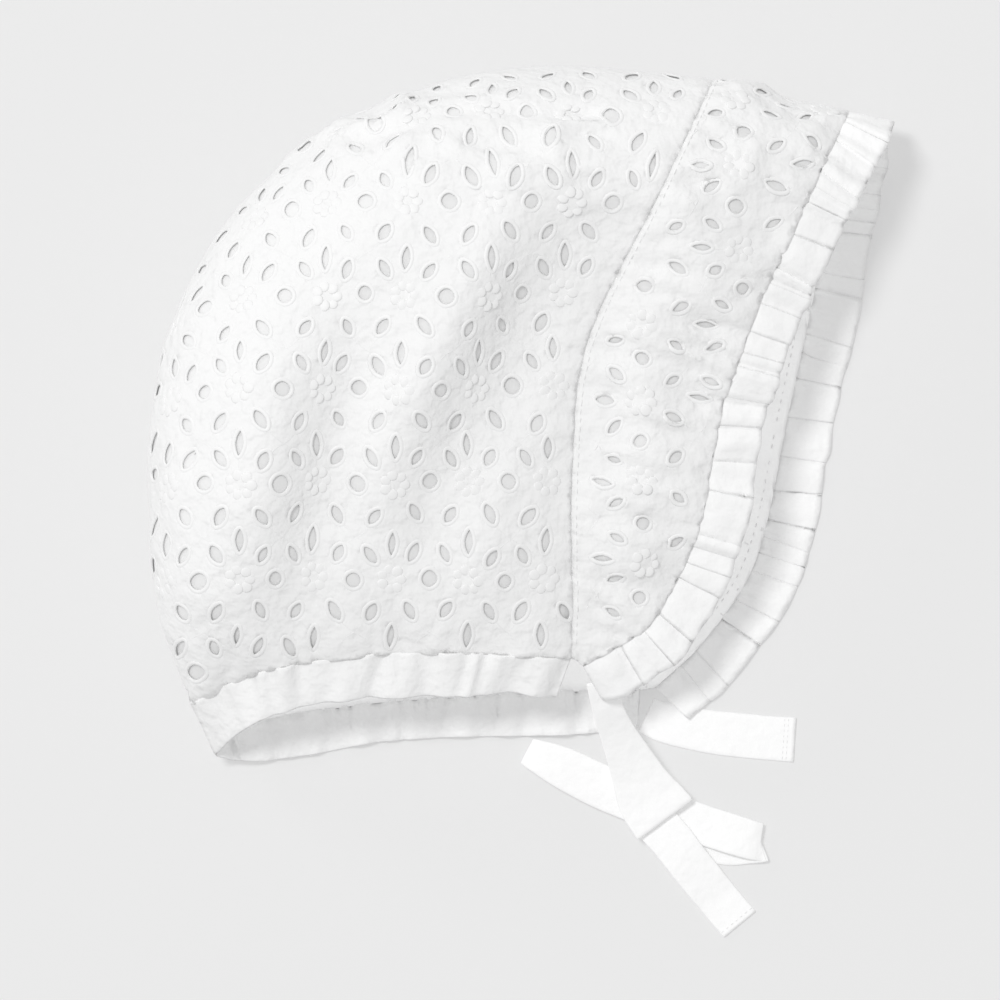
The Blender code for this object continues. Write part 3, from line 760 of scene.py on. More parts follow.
def shown_by_nodes(name, mesh, tree, values):
    """The mesh that a tree of Geometry Nodes makes of another one."""
    holder = linked(name, mesh)
    modifier = holder.modifiers.new("Nodes", "NODES")
    modifier.node_group = tree
    for item in tree.interface.items_tree:
        if item.item_type == "SOCKET" and item.in_out == "INPUT" and item.name in values:
            modifier[item.identifier] = values[item.name]
    view = bpy.context.evaluated_depsgraph_get()
    result = bpy.data.meshes.new_from_object(holder.evaluated_get(view))
    result.name = name
    bpy.data.objects.remove(holder, do_unlink=True)
    return result


# -------- trees of Geometry Nodes

def start_tree(name, inputs):
    """A new tree with named inputs; returns its graph and a socket for each input."""
    tree = bpy.data.node_groups.new(name, "GeometryNodeTree")
    kinds = {float: "NodeSocketFloat", int: "NodeSocketInt"}
    tree.interface.new_socket("Geometry", in_out="INPUT", socket_type="NodeSocketGeometry")
    for label, value in inputs.items():
        kind = kinds.get(type(value), "NodeSocketMaterial")
        socket = tree.interface.new_socket(label, in_out="INPUT", socket_type=kind)
        if type(value) in kinds:
            socket.default_value = value
    tree.interface.new_socket("Geometry", in_out="OUTPUT", socket_type="NodeSocketGeometry")
    graph = Graph(tree)
    entry = tree.nodes.new("NodeGroupInput")
    return graph, {socket.name: Wire(graph, socket) for socket in entry.outputs if socket.name}


def end_tree(graph, geometry, material):
    """Ends a tree with real geometry in its material."""
    realized = graph.add("GeometryNodeRealizeInstances", None, {"Geometry": geometry})
    finished = graph.add("GeometryNodeSetMaterial", None, {"Geometry": realized, "Material": material})
    leave = graph.tree.nodes.new("NodeGroupOutput")
    graph.tree.links.new(finished.socket, leave.inputs["Geometry"])
    return graph.tree


def attribute(graph, name, kind="FLOAT_VECTOR"):
    return graph.add("GeometryNodeInputNamedAttribute", {"data_type": kind}, {"Name": name})


def resized(graph, shape, *sizes):
    """A shape stretched along its axes."""
    scale = graph.add("ShaderNodeCombineXYZ", None, dict(zip("XYZ", sizes)))
    return graph.add("GeometryNodeTransform", None, {"Geometry": shape, "Scale": scale})


def on_points(graph, points, shape, along, varied, seed):
    """A shape at each point, square to the cloth, its length turned one way and its size varied."""
    aim = graph.add(
        "FunctionNodeAxesToRotation",
        {"primary_axis": "Z", "secondary_axis": "X"},
        {"Primary Axis": attribute(graph, "up"), "Secondary Axis": along},
    )
    sockets = {2: varied[0], 3: varied[1], "Seed": seed}
    vary = graph.add("FunctionNodeRandomValue", {"data_type": "FLOAT"}, sockets, 1)
    sockets = {"Points": points, "Instance": shape, "Rotation": aim, "Scale": vary}
    return graph.add("GeometryNodeInstanceOnPoints", None, sockets)


def satin_tree():
    """Satin cords along the edges of a mesh, flat on the cloth."""
    inputs = {"Half Width": 0.5 * MM, "Half Height": 0.25 * MM, "Corners": 8, "Cotton": None}
    graph, given = start_tree("satin_cord", inputs)
    curve = graph.add("GeometryNodeMeshToCurve", None, {"Mesh": given["Geometry"]})
    sockets = {"Curve": curve, "Normal": attribute(graph, "up")}
    curve = graph.add("GeometryNodeSetCurveNormal", {"mode": "FREE"}, sockets)
    sockets = {"Resolution": given["Corners"], "Radius": 1.0}
    section = graph.add("GeometryNodeCurvePrimitiveCircle", None, sockets)
    section = resized(graph, section, given["Half Height"], given["Half Width"], 1.0)
    sockets = {"Curve": curve, "Profile Curve": section, "Fill Caps": True}
    return end_tree(graph, graph.add("GeometryNodeCurveToMesh", None, sockets), given["Cotton"])


def lobe_tree():
    """A padded satin lobe at each point of a mesh, square to the cloth."""
    inputs = {"Length": 1.5 * MM, "Width": 1.42 * MM, "Height": 0.34 * MM, "Seed": 3, "Cotton": None}
    graph, given = start_tree("satin_lobes", inputs)
    lobe = graph.add("GeometryNodeMeshUVSphere", None, {"Segments": 12, "Rings": 7, "Radius": 1.0})
    lobe = resized(graph, lobe, given["Length"], given["Width"], given["Height"])
    along = attribute(graph, "along")
    lobes = on_points(graph, given["Geometry"], lobe, along, (0.92, 1.08), given["Seed"])
    return end_tree(graph, lobes, given["Cotton"])


def stitch_tree():
    """A row of short threads along the edges of a mesh."""
    inputs = {"Pitch": 2.4 * MM, "Stitch Length": 1.5 * MM, "Thread": 0.3 * MM, "Seed": 7, "Cotton": None}
    graph, given = start_tree("stitch_row", inputs)
    curve = graph.add("GeometryNodeMeshToCurve", None, {"Mesh": given["Geometry"]})
    sockets = {"Curve": curve, "Length": given["Pitch"]}
    curve = graph.add("GeometryNodeResampleCurve", {"mode": "LENGTH"}, sockets)
    thread = graph.add("GeometryNodeMeshUVSphere", None, {"Segments": 8, "Rings": 5, "Radius": 0.5})
    thread = resized(graph, thread, given["Stitch Length"], given["Thread"], given["Thread"])
    along = graph.add("GeometryNodeInputTangent")
    threads = on_points(graph, curve, thread, along, (0.85, 1.12), given["Seed"])
    return end_tree(graph, threads, given["Cotton"])


# -------- finishes

THREAD_WIDTH = 0.55 * MM
RUMPLE = 3.2 * MM
WHITE = (1, 1, 1, 1)


def grey(shade):
    return (shade, shade, shade, 1)


def new_finish(name):
    """A material, its graph, its shader and the place on the piece."""
    material = bpy.data.materials.new(name)
    material.use_nodes = True
    graph = Graph(material.node_tree)
    place = graph.add("ShaderNodeTexCoord", None, None, 3)
    return material, graph, material.node_tree.nodes["Principled BSDF"], place


def speckle(graph, place, scale, detail, roughness=0.5):
    """Noise over the piece, from about 0 to 1."""
    sockets = {"Vector": place, "Scale": scale, "Detail": detail, "Roughness": roughness}
    return graph.add("ShaderNodeTexNoise", None, sockets)


def between(graph, share, low, high):
    """A colour between two others."""
    return graph.add("ShaderNodeMix", {"data_type": "RGBA"}, {0: share, 6: low, 7: high}, 2)


def relief_of(graph, strength, distance, surface):
    return graph.add("ShaderNodeBump", None, {"Strength": strength, "Distance": distance, "Height": surface})


def cotton(name, shade, roughness, relief, rumpled, painted_glow, covered=None):
    """White cotton: crossed threads with slubs, small rumples and changes of tone, a soft sheen, and a
    painted glow that stands in for light coming through the thin cloth. A cloth given a painted shade has
    that shade, and no painted glow, on the side that its attribute "outward" points to."""
    material, graph, shader, place = new_finish(name)

    def threads(stretch, seed):
        sockets = {"Vector": place, "Scale": stretch, "Location": (seed, seed, 0)}
        along = graph.add("ShaderNodeMapping", None, sockets)
        return speckle(graph, along, 1 / THREAD_WIDTH, 1.0, 0.4)

    weave = threads((1.0, 0.16, 0.6), 3.1) * 0.5 + threads((0.16, 1.0, 0.6), 8.7) * 0.5
    cloud = speckle(graph, place, 60.0, 3.0)
    tone = (cloud - 0.5) * 0.05 + (weave - 0.5) * 0.10
    colour = between(graph, tone + 0.6, grey(shade * 0.9), grey(min(1, shade * 1.03)))
    surface = weave * relief + speckle(graph, place, 1 / RUMPLE, 2.0, 0.45) * rumpled
    # The emission is a painted glow that stands in for light coming through the thin cotton
    light = WHITE
    # Painted shade: on the side towards the outer cloth the colour darkens to the given grey and the painted
    # glow fades, as strongly as the lining's painted-shade attribute says
    if covered is not None:
        facing = graph.add("ShaderNodeNewGeometry", None, None, 1)
        outward = graph.add("ShaderNodeAttribute", {"attribute_name": "outward"}, None, 1)
        depth = graph.add("ShaderNodeAttribute", {"attribute_name": "covered"}, None, 2)
        under = (graph.vector("DOT_PRODUCT", facing, outward, output=1) > 0.0) * depth
        colour = between(graph, under, colour, grey(covered))
        light = between(graph, under, WHITE, grey(0.08))
    graph.put(shader, {
        "Base Color": colour,
        "Normal": relief_of(graph, 1.0, 0.3 * MM, surface),
        "Roughness": roughness + (cloud - 0.5) * 0.1,
        "Emission Color": light,
        "Emission Strength": painted_glow,
        "Sheen Weight": 0.1,
        "Sheen Roughness": 0.5,
        "Specular IOR Level": 0.2,
    })
    return material


def satin(name, shade):
    """Embroidery thread: a fine grain with a light gloss."""
    material, graph, shader, place = new_finish(name)
    fine, cloud = speckle(graph, place, 3200.0, 1.0), speckle(graph, place, 400.0, 2.0)
    graph.put(shader, {
        "Base Color": between(graph, fine * 0.6 + cloud * 0.4, grey(shade * 0.93), grey(shade)),
        "Normal": relief_of(graph, 0.25, 0.12 * MM, fine),
        "Roughness": 0.5 + (cloud - 0.5) * 0.2,
        "Sheen Weight": 0.15,
        "Specular IOR Level": 0.35,
    })
    return material


# The last number of each cloth is its painted glow, standing in for light that comes through the thin
# cotton; the lining also has painted shade
EYELET_CLOTH = cotton("eyelet_cotton_cloth", 0.92, 0.85, relief=0.10, rumpled=3.2, painted_glow=0.03)
TIE_CLOTH = cotton("tie_cotton_cloth", 0.97, 0.8, relief=0.07, rumpled=1.6, painted_glow=0.07)
RUFFLE_COTTON = cotton("ruffle_cotton_cloth", 0.95, 0.8, relief=0.07, rumpled=2.0, painted_glow=0.06)
BAND_CLOTH = cotton("band_cotton_cloth", 0.93, 0.85, relief=0.08, rumpled=3.0, painted_glow=0.04)
LINING_CLOTH = cotton("lining_cotton_cloth", 0.94, 0.9, relief=0.06, rumpled=0.8, painted_glow=0.17, covered=0.83)
SATIN = satin("satin_thread", 0.96)
THREAD = satin("sewing_thread", 0.88)

SATIN_CORD = satin_tree()
SATIN_LOBES = lobe_tree()
STITCH_ROW = stitch_tree()


# -------- crown and brim

RIM_HALF_WIDTH = 0.60 * MM
RIM_HALF_HEIGHT = 0.29 * MM
RIM_OUT = 0.42 * MM
RIM_LIFT = CLOTH_LIFT + 0.02 * MM
ROSETTE_LIFT = CLOTH_LIFT + 0.07 * MM
ROSETTE_ROOM = 1.75
LOBE_COUNT = 7
LOBE_ANGLES = 2 * math.pi * np.arange(LOBE_COUNT) / LOBE_COUNT
LOBE_RING = 2.45 * MM * np.column_stack((np.cos(LOBE_ANGLES), np.sin(LOBE_ANGLES)))
STEM_HALF_WIDTH = 0.20 * MM
STEM_HALF_HEIGHT = 0.13 * MM
STEM_LIFT = CLOTH_LIFT + 0.08 * MM
STEM_STEP = 0.8 * MM
EMBROIDERY_LOWEST = 0.42 * MM


def lifted(near, flat, lift):
    """Places of flat points on the rucked cloth, and the cloth's normals there."""
    t, h = bonnet.place_of(near, flat)
    return on_cloth(t, h, lift, EMBROIDERY_LOWEST), unit(bonnet.read(bonnet.normals, t, h))


def joined(parts):
    """Several lines, each with its points, its normals and whether it is closed, as one mesh's lists."""
    edges, count = [], 0
    for points, normals, closed in parts:
        n = len(points)
        edges += [(count + k, count + (k + 1) % n) for k in range(n if closed else n - 1)]
        count += n
    return *(np.concatenate([part[k] for part in parts]) for k in (0, 1)), edges


def finer(line, step):
    """Points at about equal steps along a line, rounded by a smooth curve through its corners."""
    lengths = lengths_along(line)
    at = np.linspace(0, lengths[-1], max(2, int(lengths[-1] / step) + 1))
    return np.column_stack([curve_through(lengths, column, at) for column in line.T])


def eyelet_piece(name, first_hoop, last_hoop, lattice):
    """The crown or the brim: its cloth cut out at the eyelets, and the embroidery on it."""
    node = name.split("_")[0]
    points, faces, flats, count = [], [], [], 0
    rims, stems, rosettes = [], [], []
    for near, step in ((True, MESH_STEP_UPPER), (False, MESH_STEP_LOWER)):
        patch = cloth_patch(near, first_hoop, last_hoop, lattice, step)
        patch_points, patch_faces = on_cloth(patch.t, patch.h, CLOTH_LIFT), patch.faces
        a, b, c = (patch_points[patch_faces[:, k]] for k in range(3))
        normals = bonnet.read(bonnet.normals, patch.t, patch.h)[patch_faces[:, 0]]
        if (np.cross(b - a, c - a) * normals).sum() < 0:
            patch_faces = patch_faces[:, ::-1]
        points.append(patch_points)
        faces.append(patch_faces + count)
        flats.append(patch.flat)
        count += len(patch_points)
        for outline in patch.eyelets:
            rims.append((*lifted(near, grown(outline, RIM_OUT), RIM_LIFT), True))
        for spot, turn in patch.rosettes:
            ring = spot + turned(LOBE_RING, turn)
            if inside(near, spot + ROSETTE_ROOM * (ring - spot), first_hoop, last_hoop)[0].all():
                rosettes.append((*lifted(near, ring, ROSETTE_LIFT), True))
        for stem in patch.stems:
            line = finer(stem, STEM_STEP)
            if inside(near, line, first_hoop, last_hoop)[0].all():
                stems.append((*lifted(near, line, STEM_LIFT), False))
    mesh = mesh_of(name, np.concatenate(points), np.concatenate(faces), uv=np.concatenate(flats))
    merge_doubles(mesh)
    cloth = add_piece(name, mesh, EYELET_CLOTH, node)
    thicken(cloth, CLOTH_THICKNESS)

    rim = {"Half Width": RIM_HALF_WIDTH, "Half Height": RIM_HALF_HEIGHT}
    stem = {"Half Width": STEM_HALF_WIDTH, "Half Height": STEM_HALF_HEIGHT, "Corners": 6}
    from_middle = np.concatenate([ring - ring.mean(0) for ring, normals, closed in rosettes])
    trims = [
        worked(node + "_eyelet_rims", node, "eyelet_cotton", rims, SATIN_CORD, rim, SATIN),
        worked(node + "_stems", node, "eyelet_cotton", stems, SATIN_CORD, stem, SATIN),
        worked(
            node + "_rosettes", node, "eyelet_cotton", rosettes, SATIN_LOBES, {}, SATIN, along=from_middle
        ),
    ]


def worked(name, node, slot, parts, tree, values, material, **attributes):
    """A piece of needlework that a tree of Geometry Nodes makes along lines or at points on the cloth."""
    points, normals, edges = joined(parts)
    made = mesh_of(name + "_lines", points, edges=() if attributes else edges, up=normals, **attributes)
    mesh = shown_by_nodes(name, made, tree, {**values, "Cotton": material})
    mesh.shade_smooth()
    return add_piece(name, mesh, None, node)


# -------- lining

LINING_THICKNESS = 0.3 * MM
LINING_LIFT = 0.05 * MM
LINING_EDGE_LIFT = -0.15 * MM
LINING_LOWEST = 0.98 * MM
LINING_ROWS = 163
LINING_COLUMNS = {"lower": 61, "upper": 111}
# Side that the light falls from, where the lining's painted shade is weakest
LINING_LIGHT_SIDE = np.array((-0.75, 0.6, 0.0))


def on_lining(t, h, inwards=0.0):
    """Places on the lining, which follows the wrinkles of the outer cloth, clear of its embroidery."""
    points, normals = bonnet.place(t, h)
    edge = np.exp(-((t * bonnet.read(bonnet.row_step, t, h) / (2.5 * MM)) ** 2))
    wrinkles = 0.10 * MM * noise(points, 5 * MM, 22)
    lift = LINING_LIFT + wrinkles + ruck(t, h, 3.0 * MM) + (LINING_EDGE_LIFT - LINING_LIFT) * edge
    points = points + normals * lift[:, None]
    points[:, 2] = np.maximum(points[:, 2], LINING_LOWEST)
    return points - normals * inwards, normals


def lining():
    """The smooth cloth inside. Its side that faces the outer cloth has painted shade, least where light
    falls.
    """
    rows = np.linspace(0.0, LAST_HOOP, LINING_ROWS)
    lower, upper = np.linspace(-1, 0, LINING_COLUMNS["lower"]), np.linspace(0, 1, LINING_COLUMNS["upper"])
    columns = np.concatenate((lower[:-1], upper))
    t, h = (grid.ravel() for grid in np.meshgrid(rows, columns, indexing="ij"))
    points, normals = on_lining(t, h)
    upper, lower = bonnet.read_flat(True, t, np.maximum(h, 0)), bonnet.read_flat(False, t, np.minimum(h, 0))
    flat = np.where((h >= 0)[:, None], upper, lower)
    # Strength of the painted shade on the lining's side under the outer cloth, less where that side faces
    # the light
    covered = 1 - 0.3 * smooth(1.6 * normals @ LINING_LIGHT_SIDE)
    faces = grid_faces(len(rows), len(columns))
    mesh = mesh_of("lining_cloth", points, faces, uv=flat, covered=covered, outward=normals)
    merge_doubles(mesh)
    piece = add_piece("lining_cloth", mesh, LINING_CLOTH, "lining")
    thicken(piece, LINING_THICKNESS)


# -------- ruffle

PLEAT_LIFT = 1.05 * MM
FOLD_UNDER = 1.4 * MM
ROOT_SINK = 0.35 * MM
ROOT_LIFT = 0.30 * MM
LAST_PLEAT = 6 * MM
ALONG_REACH = 0.03
RUFFLE_CLOTH = 0.32 * MM

# Pleats: their pitches in millimetres, rows of the strip as shares of the way out, and rows along a pleat
# as shares of its pitch on the stitch line and of its panel of cloth
PLEAT_PITCHES = (3.8, 5.0, 6.5, 8.0, 10.5)
RUFFLE_OUTS = np.array((-0.09, -0.02, 0.05, 0.15, 0.3, 0.45, 0.6, 0.74, 0.78, 0.88, 1.0))
PLEAT_PLACES = (0.0, 0.06, 0.15, 0.32, 0.52, 0.72, 0.88, 1.0, 1.0)
PLEAT_PANELS = (0.0, 0.06, 0.15, 0.30, 0.50, 0.70, 0.85, 0.93, 0.965)

# Over a pleat's panel, from its start to its fold: rise of a knife pleat, rise of a soft gather, and how
# far the cloth turns back. Over the ruffle's reach: how freely it rises.
KNIFE_RISE = (
    (0.0, 0.0), (0.15, 0.30), (0.30, 0.62), (0.50, 0.88), (0.70, 1.0), (0.85, 0.98), (0.93, 0.86),
    (0.965, 0.4), (1.0, 0.05),
)
GATHER_RISE = (
    (0.0, 0.05), (0.15, 0.35), (0.30, 0.78), (0.50, 1.0), (0.70, 0.62), (0.85, 0.20), (0.93, 0.05),
    (1.0, 0.05),
)
TURN_BACK = ((0.0, 1.0), (0.06, 0.6), (0.15, 0.0), (0.9, 0.0), (0.93, 0.0), (0.965, 0.6), (1.0, 1.0))
FREE_RISE = ((0.0, 0.0), (0.04, 0.0), (0.18, 0.75), (0.35, 1.0), (0.7, 0.85), (1.0, 0.65))


def pleat_tree():
    """Knife pleats pressed into a strip: each panel rises to its fold and turns back under it."""
    inputs = {"Width": RUFFLE_WIDTH, "Pleat Lift": PLEAT_LIFT, "Fold Under": FOLD_UNDER}
    inputs |= {"Hem Step": 0.10 * MM, "Lowest": 0.22 * MM, "Cotton": None}
    graph, given = start_tree("knife_pleats", inputs)
    panel, out, depth, hem, soft, tuck = (
        attribute(graph, name, "FLOAT") for name in ("panel", "out", "depth", "hem", "soft", "tuck")
    )

    def shape(bends, value):
        return graph.add("ShaderNodeFloatCurve", {"bends": bends}, {"Value": value})

    def moved_along(name, distance):
        sockets = {"Vector": attribute(graph, name), "Scale": distance}
        return graph.add("ShaderNodeVectorMath", {"operation": "SCALE"}, sockets)

    rise = shape(KNIFE_RISE, panel)
    rise = rise + (shape(GATHER_RISE, panel) - rise) * soft
    sockets = {"Value": out, 1: 0.0, 2: 0.25, 3: 0.0, 4: 1.0}
    opened = graph.add("ShaderNodeMapRange", None, sockets)
    lift = rise * given["Pleat Lift"] * depth * shape(FREE_RISE, out) + hem * given["Hem Step"]
    shift = shape(TURN_BACK, panel) * given["Fold Under"] * tuck * opened * -1.0
    offset = graph.vector("ADD", moved_along("away", out * given["Width"]), moved_along("up", lift))
    offset = graph.vector("ADD", offset, moved_along("on", shift))
    moved = graph.add("GeometryNodeSetPosition", None, {"Geometry": given["Geometry"], "Offset": offset})
    floor = graph.add("ShaderNodeCombineXYZ", None, {"X": -10.0, "Y": -10.0, "Z": given["Lowest"]})
    held_up = graph.vector("MAXIMUM", graph.add("GeometryNodeInputPosition"), floor)
    moved = graph.add("GeometryNodeSetPosition", None, {"Geometry": moved, "Position": held_up})
    return end_tree(graph, moved, given["Cotton"])


def stitch_line():
    """Lengths along the stitch line of the ruffle, from the lower neck end, and h there."""
    lengths = lengths_along(bonnet.points[0])
    h = np.concatenate((np.linspace(-1, 0, LOWER_STEPS + 1)[:-1], np.linspace(0, 1, UPPER_STEPS + 1)))
    return lengths, h


def pleat_rows(whole):
    """Length along the stitch line, number in its panel, depth, tuck, skew and softness of each row."""
    chance = np.random.RandomState(23)
    starts = [0.0]
    while starts[-1] < whole - LAST_PLEAT:
        starts.append(starts[-1] + chance.choice(PLEAT_PITCHES) * MM * chance.uniform(0.85, 1.15))
    starts[-1] = whole
    rows = []
    for start, end in zip(starts, starts[1:]):
        rise, tuck, skew = chance.uniform(0.3, 1.1), chance.uniform(0.1, 0.8) ** 1.5, 0.03 * chance.randn()
        soft = float(chance.rand() < (0.85 if 0.55 * whole < start < 0.83 * whole else 0.6))
        for place, number in zip(PLEAT_PLACES, PLEAT_PANELS):
            base = start + (end - start) * place
            rows.append((base, number, rise, tuck * (1 - soft), skew * (1 - soft) * (place - 0.5), soft))
    return np.array(rows).T


def ruffle():
    """A strip along the stitch line, which the tree of pleats lays out and folds."""
    lengths, h_line = stitch_line()
    base, panel, depth, tuck, skew, soft = pleat_rows(lengths[-1])
    line = np.column_stack((base, np.zeros_like(base)))
    swing = 1.6 * MM * noise(line, 8 * MM, 61)
    reached = 1 + 0.05 * noise(line, 6 * MM, 62) + skew
    h = np.interp(base, lengths, h_line)
    zero = np.zeros_like(h)
    root, normal = bonnet.place(zero, h)
    held = np.clip(h, ALONG_REACH - 1, 1 - ALONG_REACH)
    ahead, behind = (bonnet.read(bonnet.points, zero, held + reach) for reach in (ALONG_REACH, -ALONG_REACH))
    on = unit(ahead - behind)
    away = unit(np.cross(normal, on))
    lower = smooth((-0.02 - h) / 0.22)[:, None]
    root = root + normal * (ROOT_LIFT + ruck(zero, h))[:, None]
    up = normal * (1 - 2 * lower)
    drop = np.clip(root[:, 2:] - 0.35 * MM, 0, 6 * MM) / RUFFLE_WIDTH * lower
    away = away - np.array((0, 0, 1.0)) * drop + on * (swing / RUFFLE_WIDTH)[:, None]
    flap = (h < 0) * np.exp(-(((root[:, 1] + 5.5 * MM) / (5.0 * MM)) ** 4))
    depth = depth * (1 + 1.9 * flap)
    n, m = len(h), len(RUFFLE_OUTS)

    def spread(values):
        return np.repeat(values, m, axis=0)

    out = np.tile(RUFFLE_OUTS, n)
    out = out * np.where(out > 0, spread(reached), 1)
    by_row = {"panel": panel, "depth": depth, "tuck": tuck, "soft": soft, "away": away, "up": up, "on": on}
    mesh = mesh_of(
        "ruffle_strip",
        spread(root) - spread(up) * (ROOT_SINK * (out < 0))[:, None],
        grid_faces(n, m),
        uv=np.column_stack((spread(base), out * RUFFLE_WIDTH)),
        out=out,
        hem=np.tile(smooth((RUFFLE_OUTS - 0.72) / 0.06), n),
        **{name: spread(values) for name, values in by_row.items()},
    )
    made = shown_by_nodes("ruffle_cloth", mesh, pleat_tree(), {"Cotton": RUFFLE_COTTON})
    piece = add_piece("ruffle_cloth", made, None, "ruffle")
    thicken(piece, RUFFLE_CLOTH)


# -------- neck band

# Section of the band: share of the way down to the neck edge, and how far it stands out in millimetres
BAND_PROFILE = (
    (-0.03, 0.85), (-0.01, 1.05), (0.06, 1.12), (0.25, 1.05), (0.5, 0.95), (0.72, 0.88), (0.88, 0.82),
    (0.96, 0.75), (1.0, 0.5), (0.97, 0.2), (0.88, 0.12), (0.6, 0.10), (0.2, 0.10), (-0.03, 0.12),
)
BAND_STEPS = 260
BAND_GATHER_PITCH = 9.0 * MM
BAND_FOLD_PITCH = 19 * MM
BAND_WANDER = 8.5 * MM


def neck_band():
    """A gathered casing from the neck ends of the hoops down to the neck edge."""
    along = np.linspace(-1, 1, BAND_STEPS + 1)
    t = LAST_HOOP - (LAST_HOOP - SEAM_HOOP) * np.abs(along)
    side = np.where(along >= 0, 1.0, -1.0)
    just_inside = np.minimum(t, LAST_HOOP - 0.05), side * 0.99
    top, normal = bonnet.read(bonnet.points, t, side), bonnet.read(bonnet.normals, *just_inside)
    edge = []
    for hoop, upper in zip(t, along >= 0):
        row = blended_row(NECK_EDGES, hoop, SEAM_HOOP)
        x, y, z = row[:3] if upper else row[3:]
        edge.append((*plan(x, y), height(z)))
    edge = np.array(edge)
    down, on = unit(edge - top), np.gradient(top + edge, axis=0)
    out = unit(np.cross(on, down))
    out *= np.sign((out * normal).sum(1, keepdims=True))
    s = lengths_along((top + edge) / 2)
    line = np.column_stack((s / BAND_WANDER, np.zeros_like(s)))
    gathers = np.sin(2 * math.pi * s / BAND_GATHER_PITCH + 2.6 * noise(line, 1.0, 41))
    soft = noise(line, 0.8, 42)
    folds = np.sin(2 * math.pi * s / BAND_FOLD_PITCH + 3.0 * noise(line, 2.0, 43))
    follow = ruck(*just_inside)
    points = []
    for drop, lift in BAND_PROFILE:
        rise = 0.85 * gathers * (1 - 0.5 * max(0, drop)) + 0.6 * soft + 1.2 * folds * max(0, drop) ** 0.5
        rise = np.where(along < -0.1, -1.1 * np.abs(rise), rise)
        place = top + (edge - top) * (drop + 0.012 * soft * (drop > 0.5))[:, None]
        place += out * (lift * MM + rise * MM + follow * max(0, 1 - 1.2 * max(0, drop)))[:, None]
        place[:, 2] = np.maximum(place[:, 2], (0.08 if lift > 0.4 else 0.7) * MM)
        points.append(place)
    mesh = closed_mesh("neck_band_cloth", np.stack(points, axis=1), s)
    piece = add_piece("neck_band_cloth", mesh, BAND_CLOTH, "neck_band")


# -------- ties

# Places on a tie's route: x and y as shares, z in metres, width as a share of TIE_WIDTH
Stop = namedtuple("Stop", "x y z width")


def stops(*rows):
    """A route from rows with z in millimetres."""
    return [Stop(x, y, z * MM, width) for x, y, z, width in rows]


STRAP_ROUTE = [
    Stop(0.244, -0.400, 0.370 * PUFF_HEIGHT, 0.68),
    Stop(0.253, -0.440, 0.276 * PUFF_HEIGHT, 0.70),
    Stop(0.270, -0.488, 0.183 * PUFF_HEIGHT, 0.85),
    *stops(
        (0.293, -0.541, 6.8, 1.15),
        (0.313, -0.586, 5.3, 1.50),
        (0.332, -0.614, 5.1, 1.60),
        (0.336, -0.620, 4.9, 1.60),
        (0.332, -0.614, 4.7, 1.60),
        (0.316, -0.592, 4.7, 1.50),
    ),
]
LEFT_LOOP_ROUTE = stops(
    (0.310, -0.602, 0.0, 0.90),
    (0.244, -0.570, 0.0, 1.00),
    (0.187, -0.539, 0.0, 0.95),
    (0.151, -0.522, 0.5, 0.75),
    (0.138, -0.515, 1.8, 0.66),
    (0.151, -0.522, 3.1, 0.75),
    (0.187, -0.539, 3.3, 0.95),
    (0.244, -0.570, 2.6, 1.05),
    (0.310, -0.602, 2.1, 1.00),
)
RIGHT_LOOP_ROUTE = stops(
    (0.332, -0.611, 0.0, 0.95),
    (0.374, -0.640, 0.0, 1.00),
    (0.420, -0.664, 0.0, 1.00),
    (0.460, -0.664, 0.5, 0.95),
    (0.477, -0.661, 1.8, 0.92),
    (0.463, -0.657, 3.1, 0.92),
    (0.431, -0.646, 3.1, 0.95),
    (0.388, -0.630, 2.2, 0.95),
    (0.332, -0.606, 2.1, 0.90),
)
TAIL_ROUTE = stops(
    (0.302, -0.597, 2.5, 1.00),
    (0.323, -0.629, 2.5, 1.02),
    (0.348, -0.661, 2.6, 1.02),
    (0.368, -0.688, 2.5, 1.00),
    (0.394, -0.723, 1.4, 1.00),
    (0.417, -0.754, 0.2, 1.00),
    (0.445, -0.792, 0.0, 1.00),
)
FAR_TIE_ROUTE = stops(
    (0.311, -0.456, 0.0, 0.85),
    (0.340, -0.470, 0.0, 0.95),
    (0.400, -0.484, 0.0, 1.00),
    (0.460, -0.491, 0.0, 1.03),
    (0.524, -0.496, 0.0, 1.06),
)
TIE_STEPS = 12
TIE_THICKNESS = 0.72 * MM
TIE_LEAST_RUN = 0.45 * MM
TIE_STITCH_REACH = 0.86
TIE_STITCH_POINTS = 9
TIE_SMOOTHINGS = 4

# Section of a tie, as shares of half its width and half its thickness
TIE_RING = (
    (-1, 0), (-0.985, 0.55), (-0.93, 0.95), (-0.8, 1.0), (-0.45, 0.95), (0, 0.93), (0.45, 0.95), (0.8, 1.0),
    (0.93, 0.95), (0.985, 0.55), (1, 0), (0.985, -0.55), (0.93, -0.95), (0.8, -1.0), (0.4, -1.0), (0, -1.0),
    (-0.4, -1.0), (-0.8, -1.0), (-0.93, -0.95), (-0.985, -0.55),
)


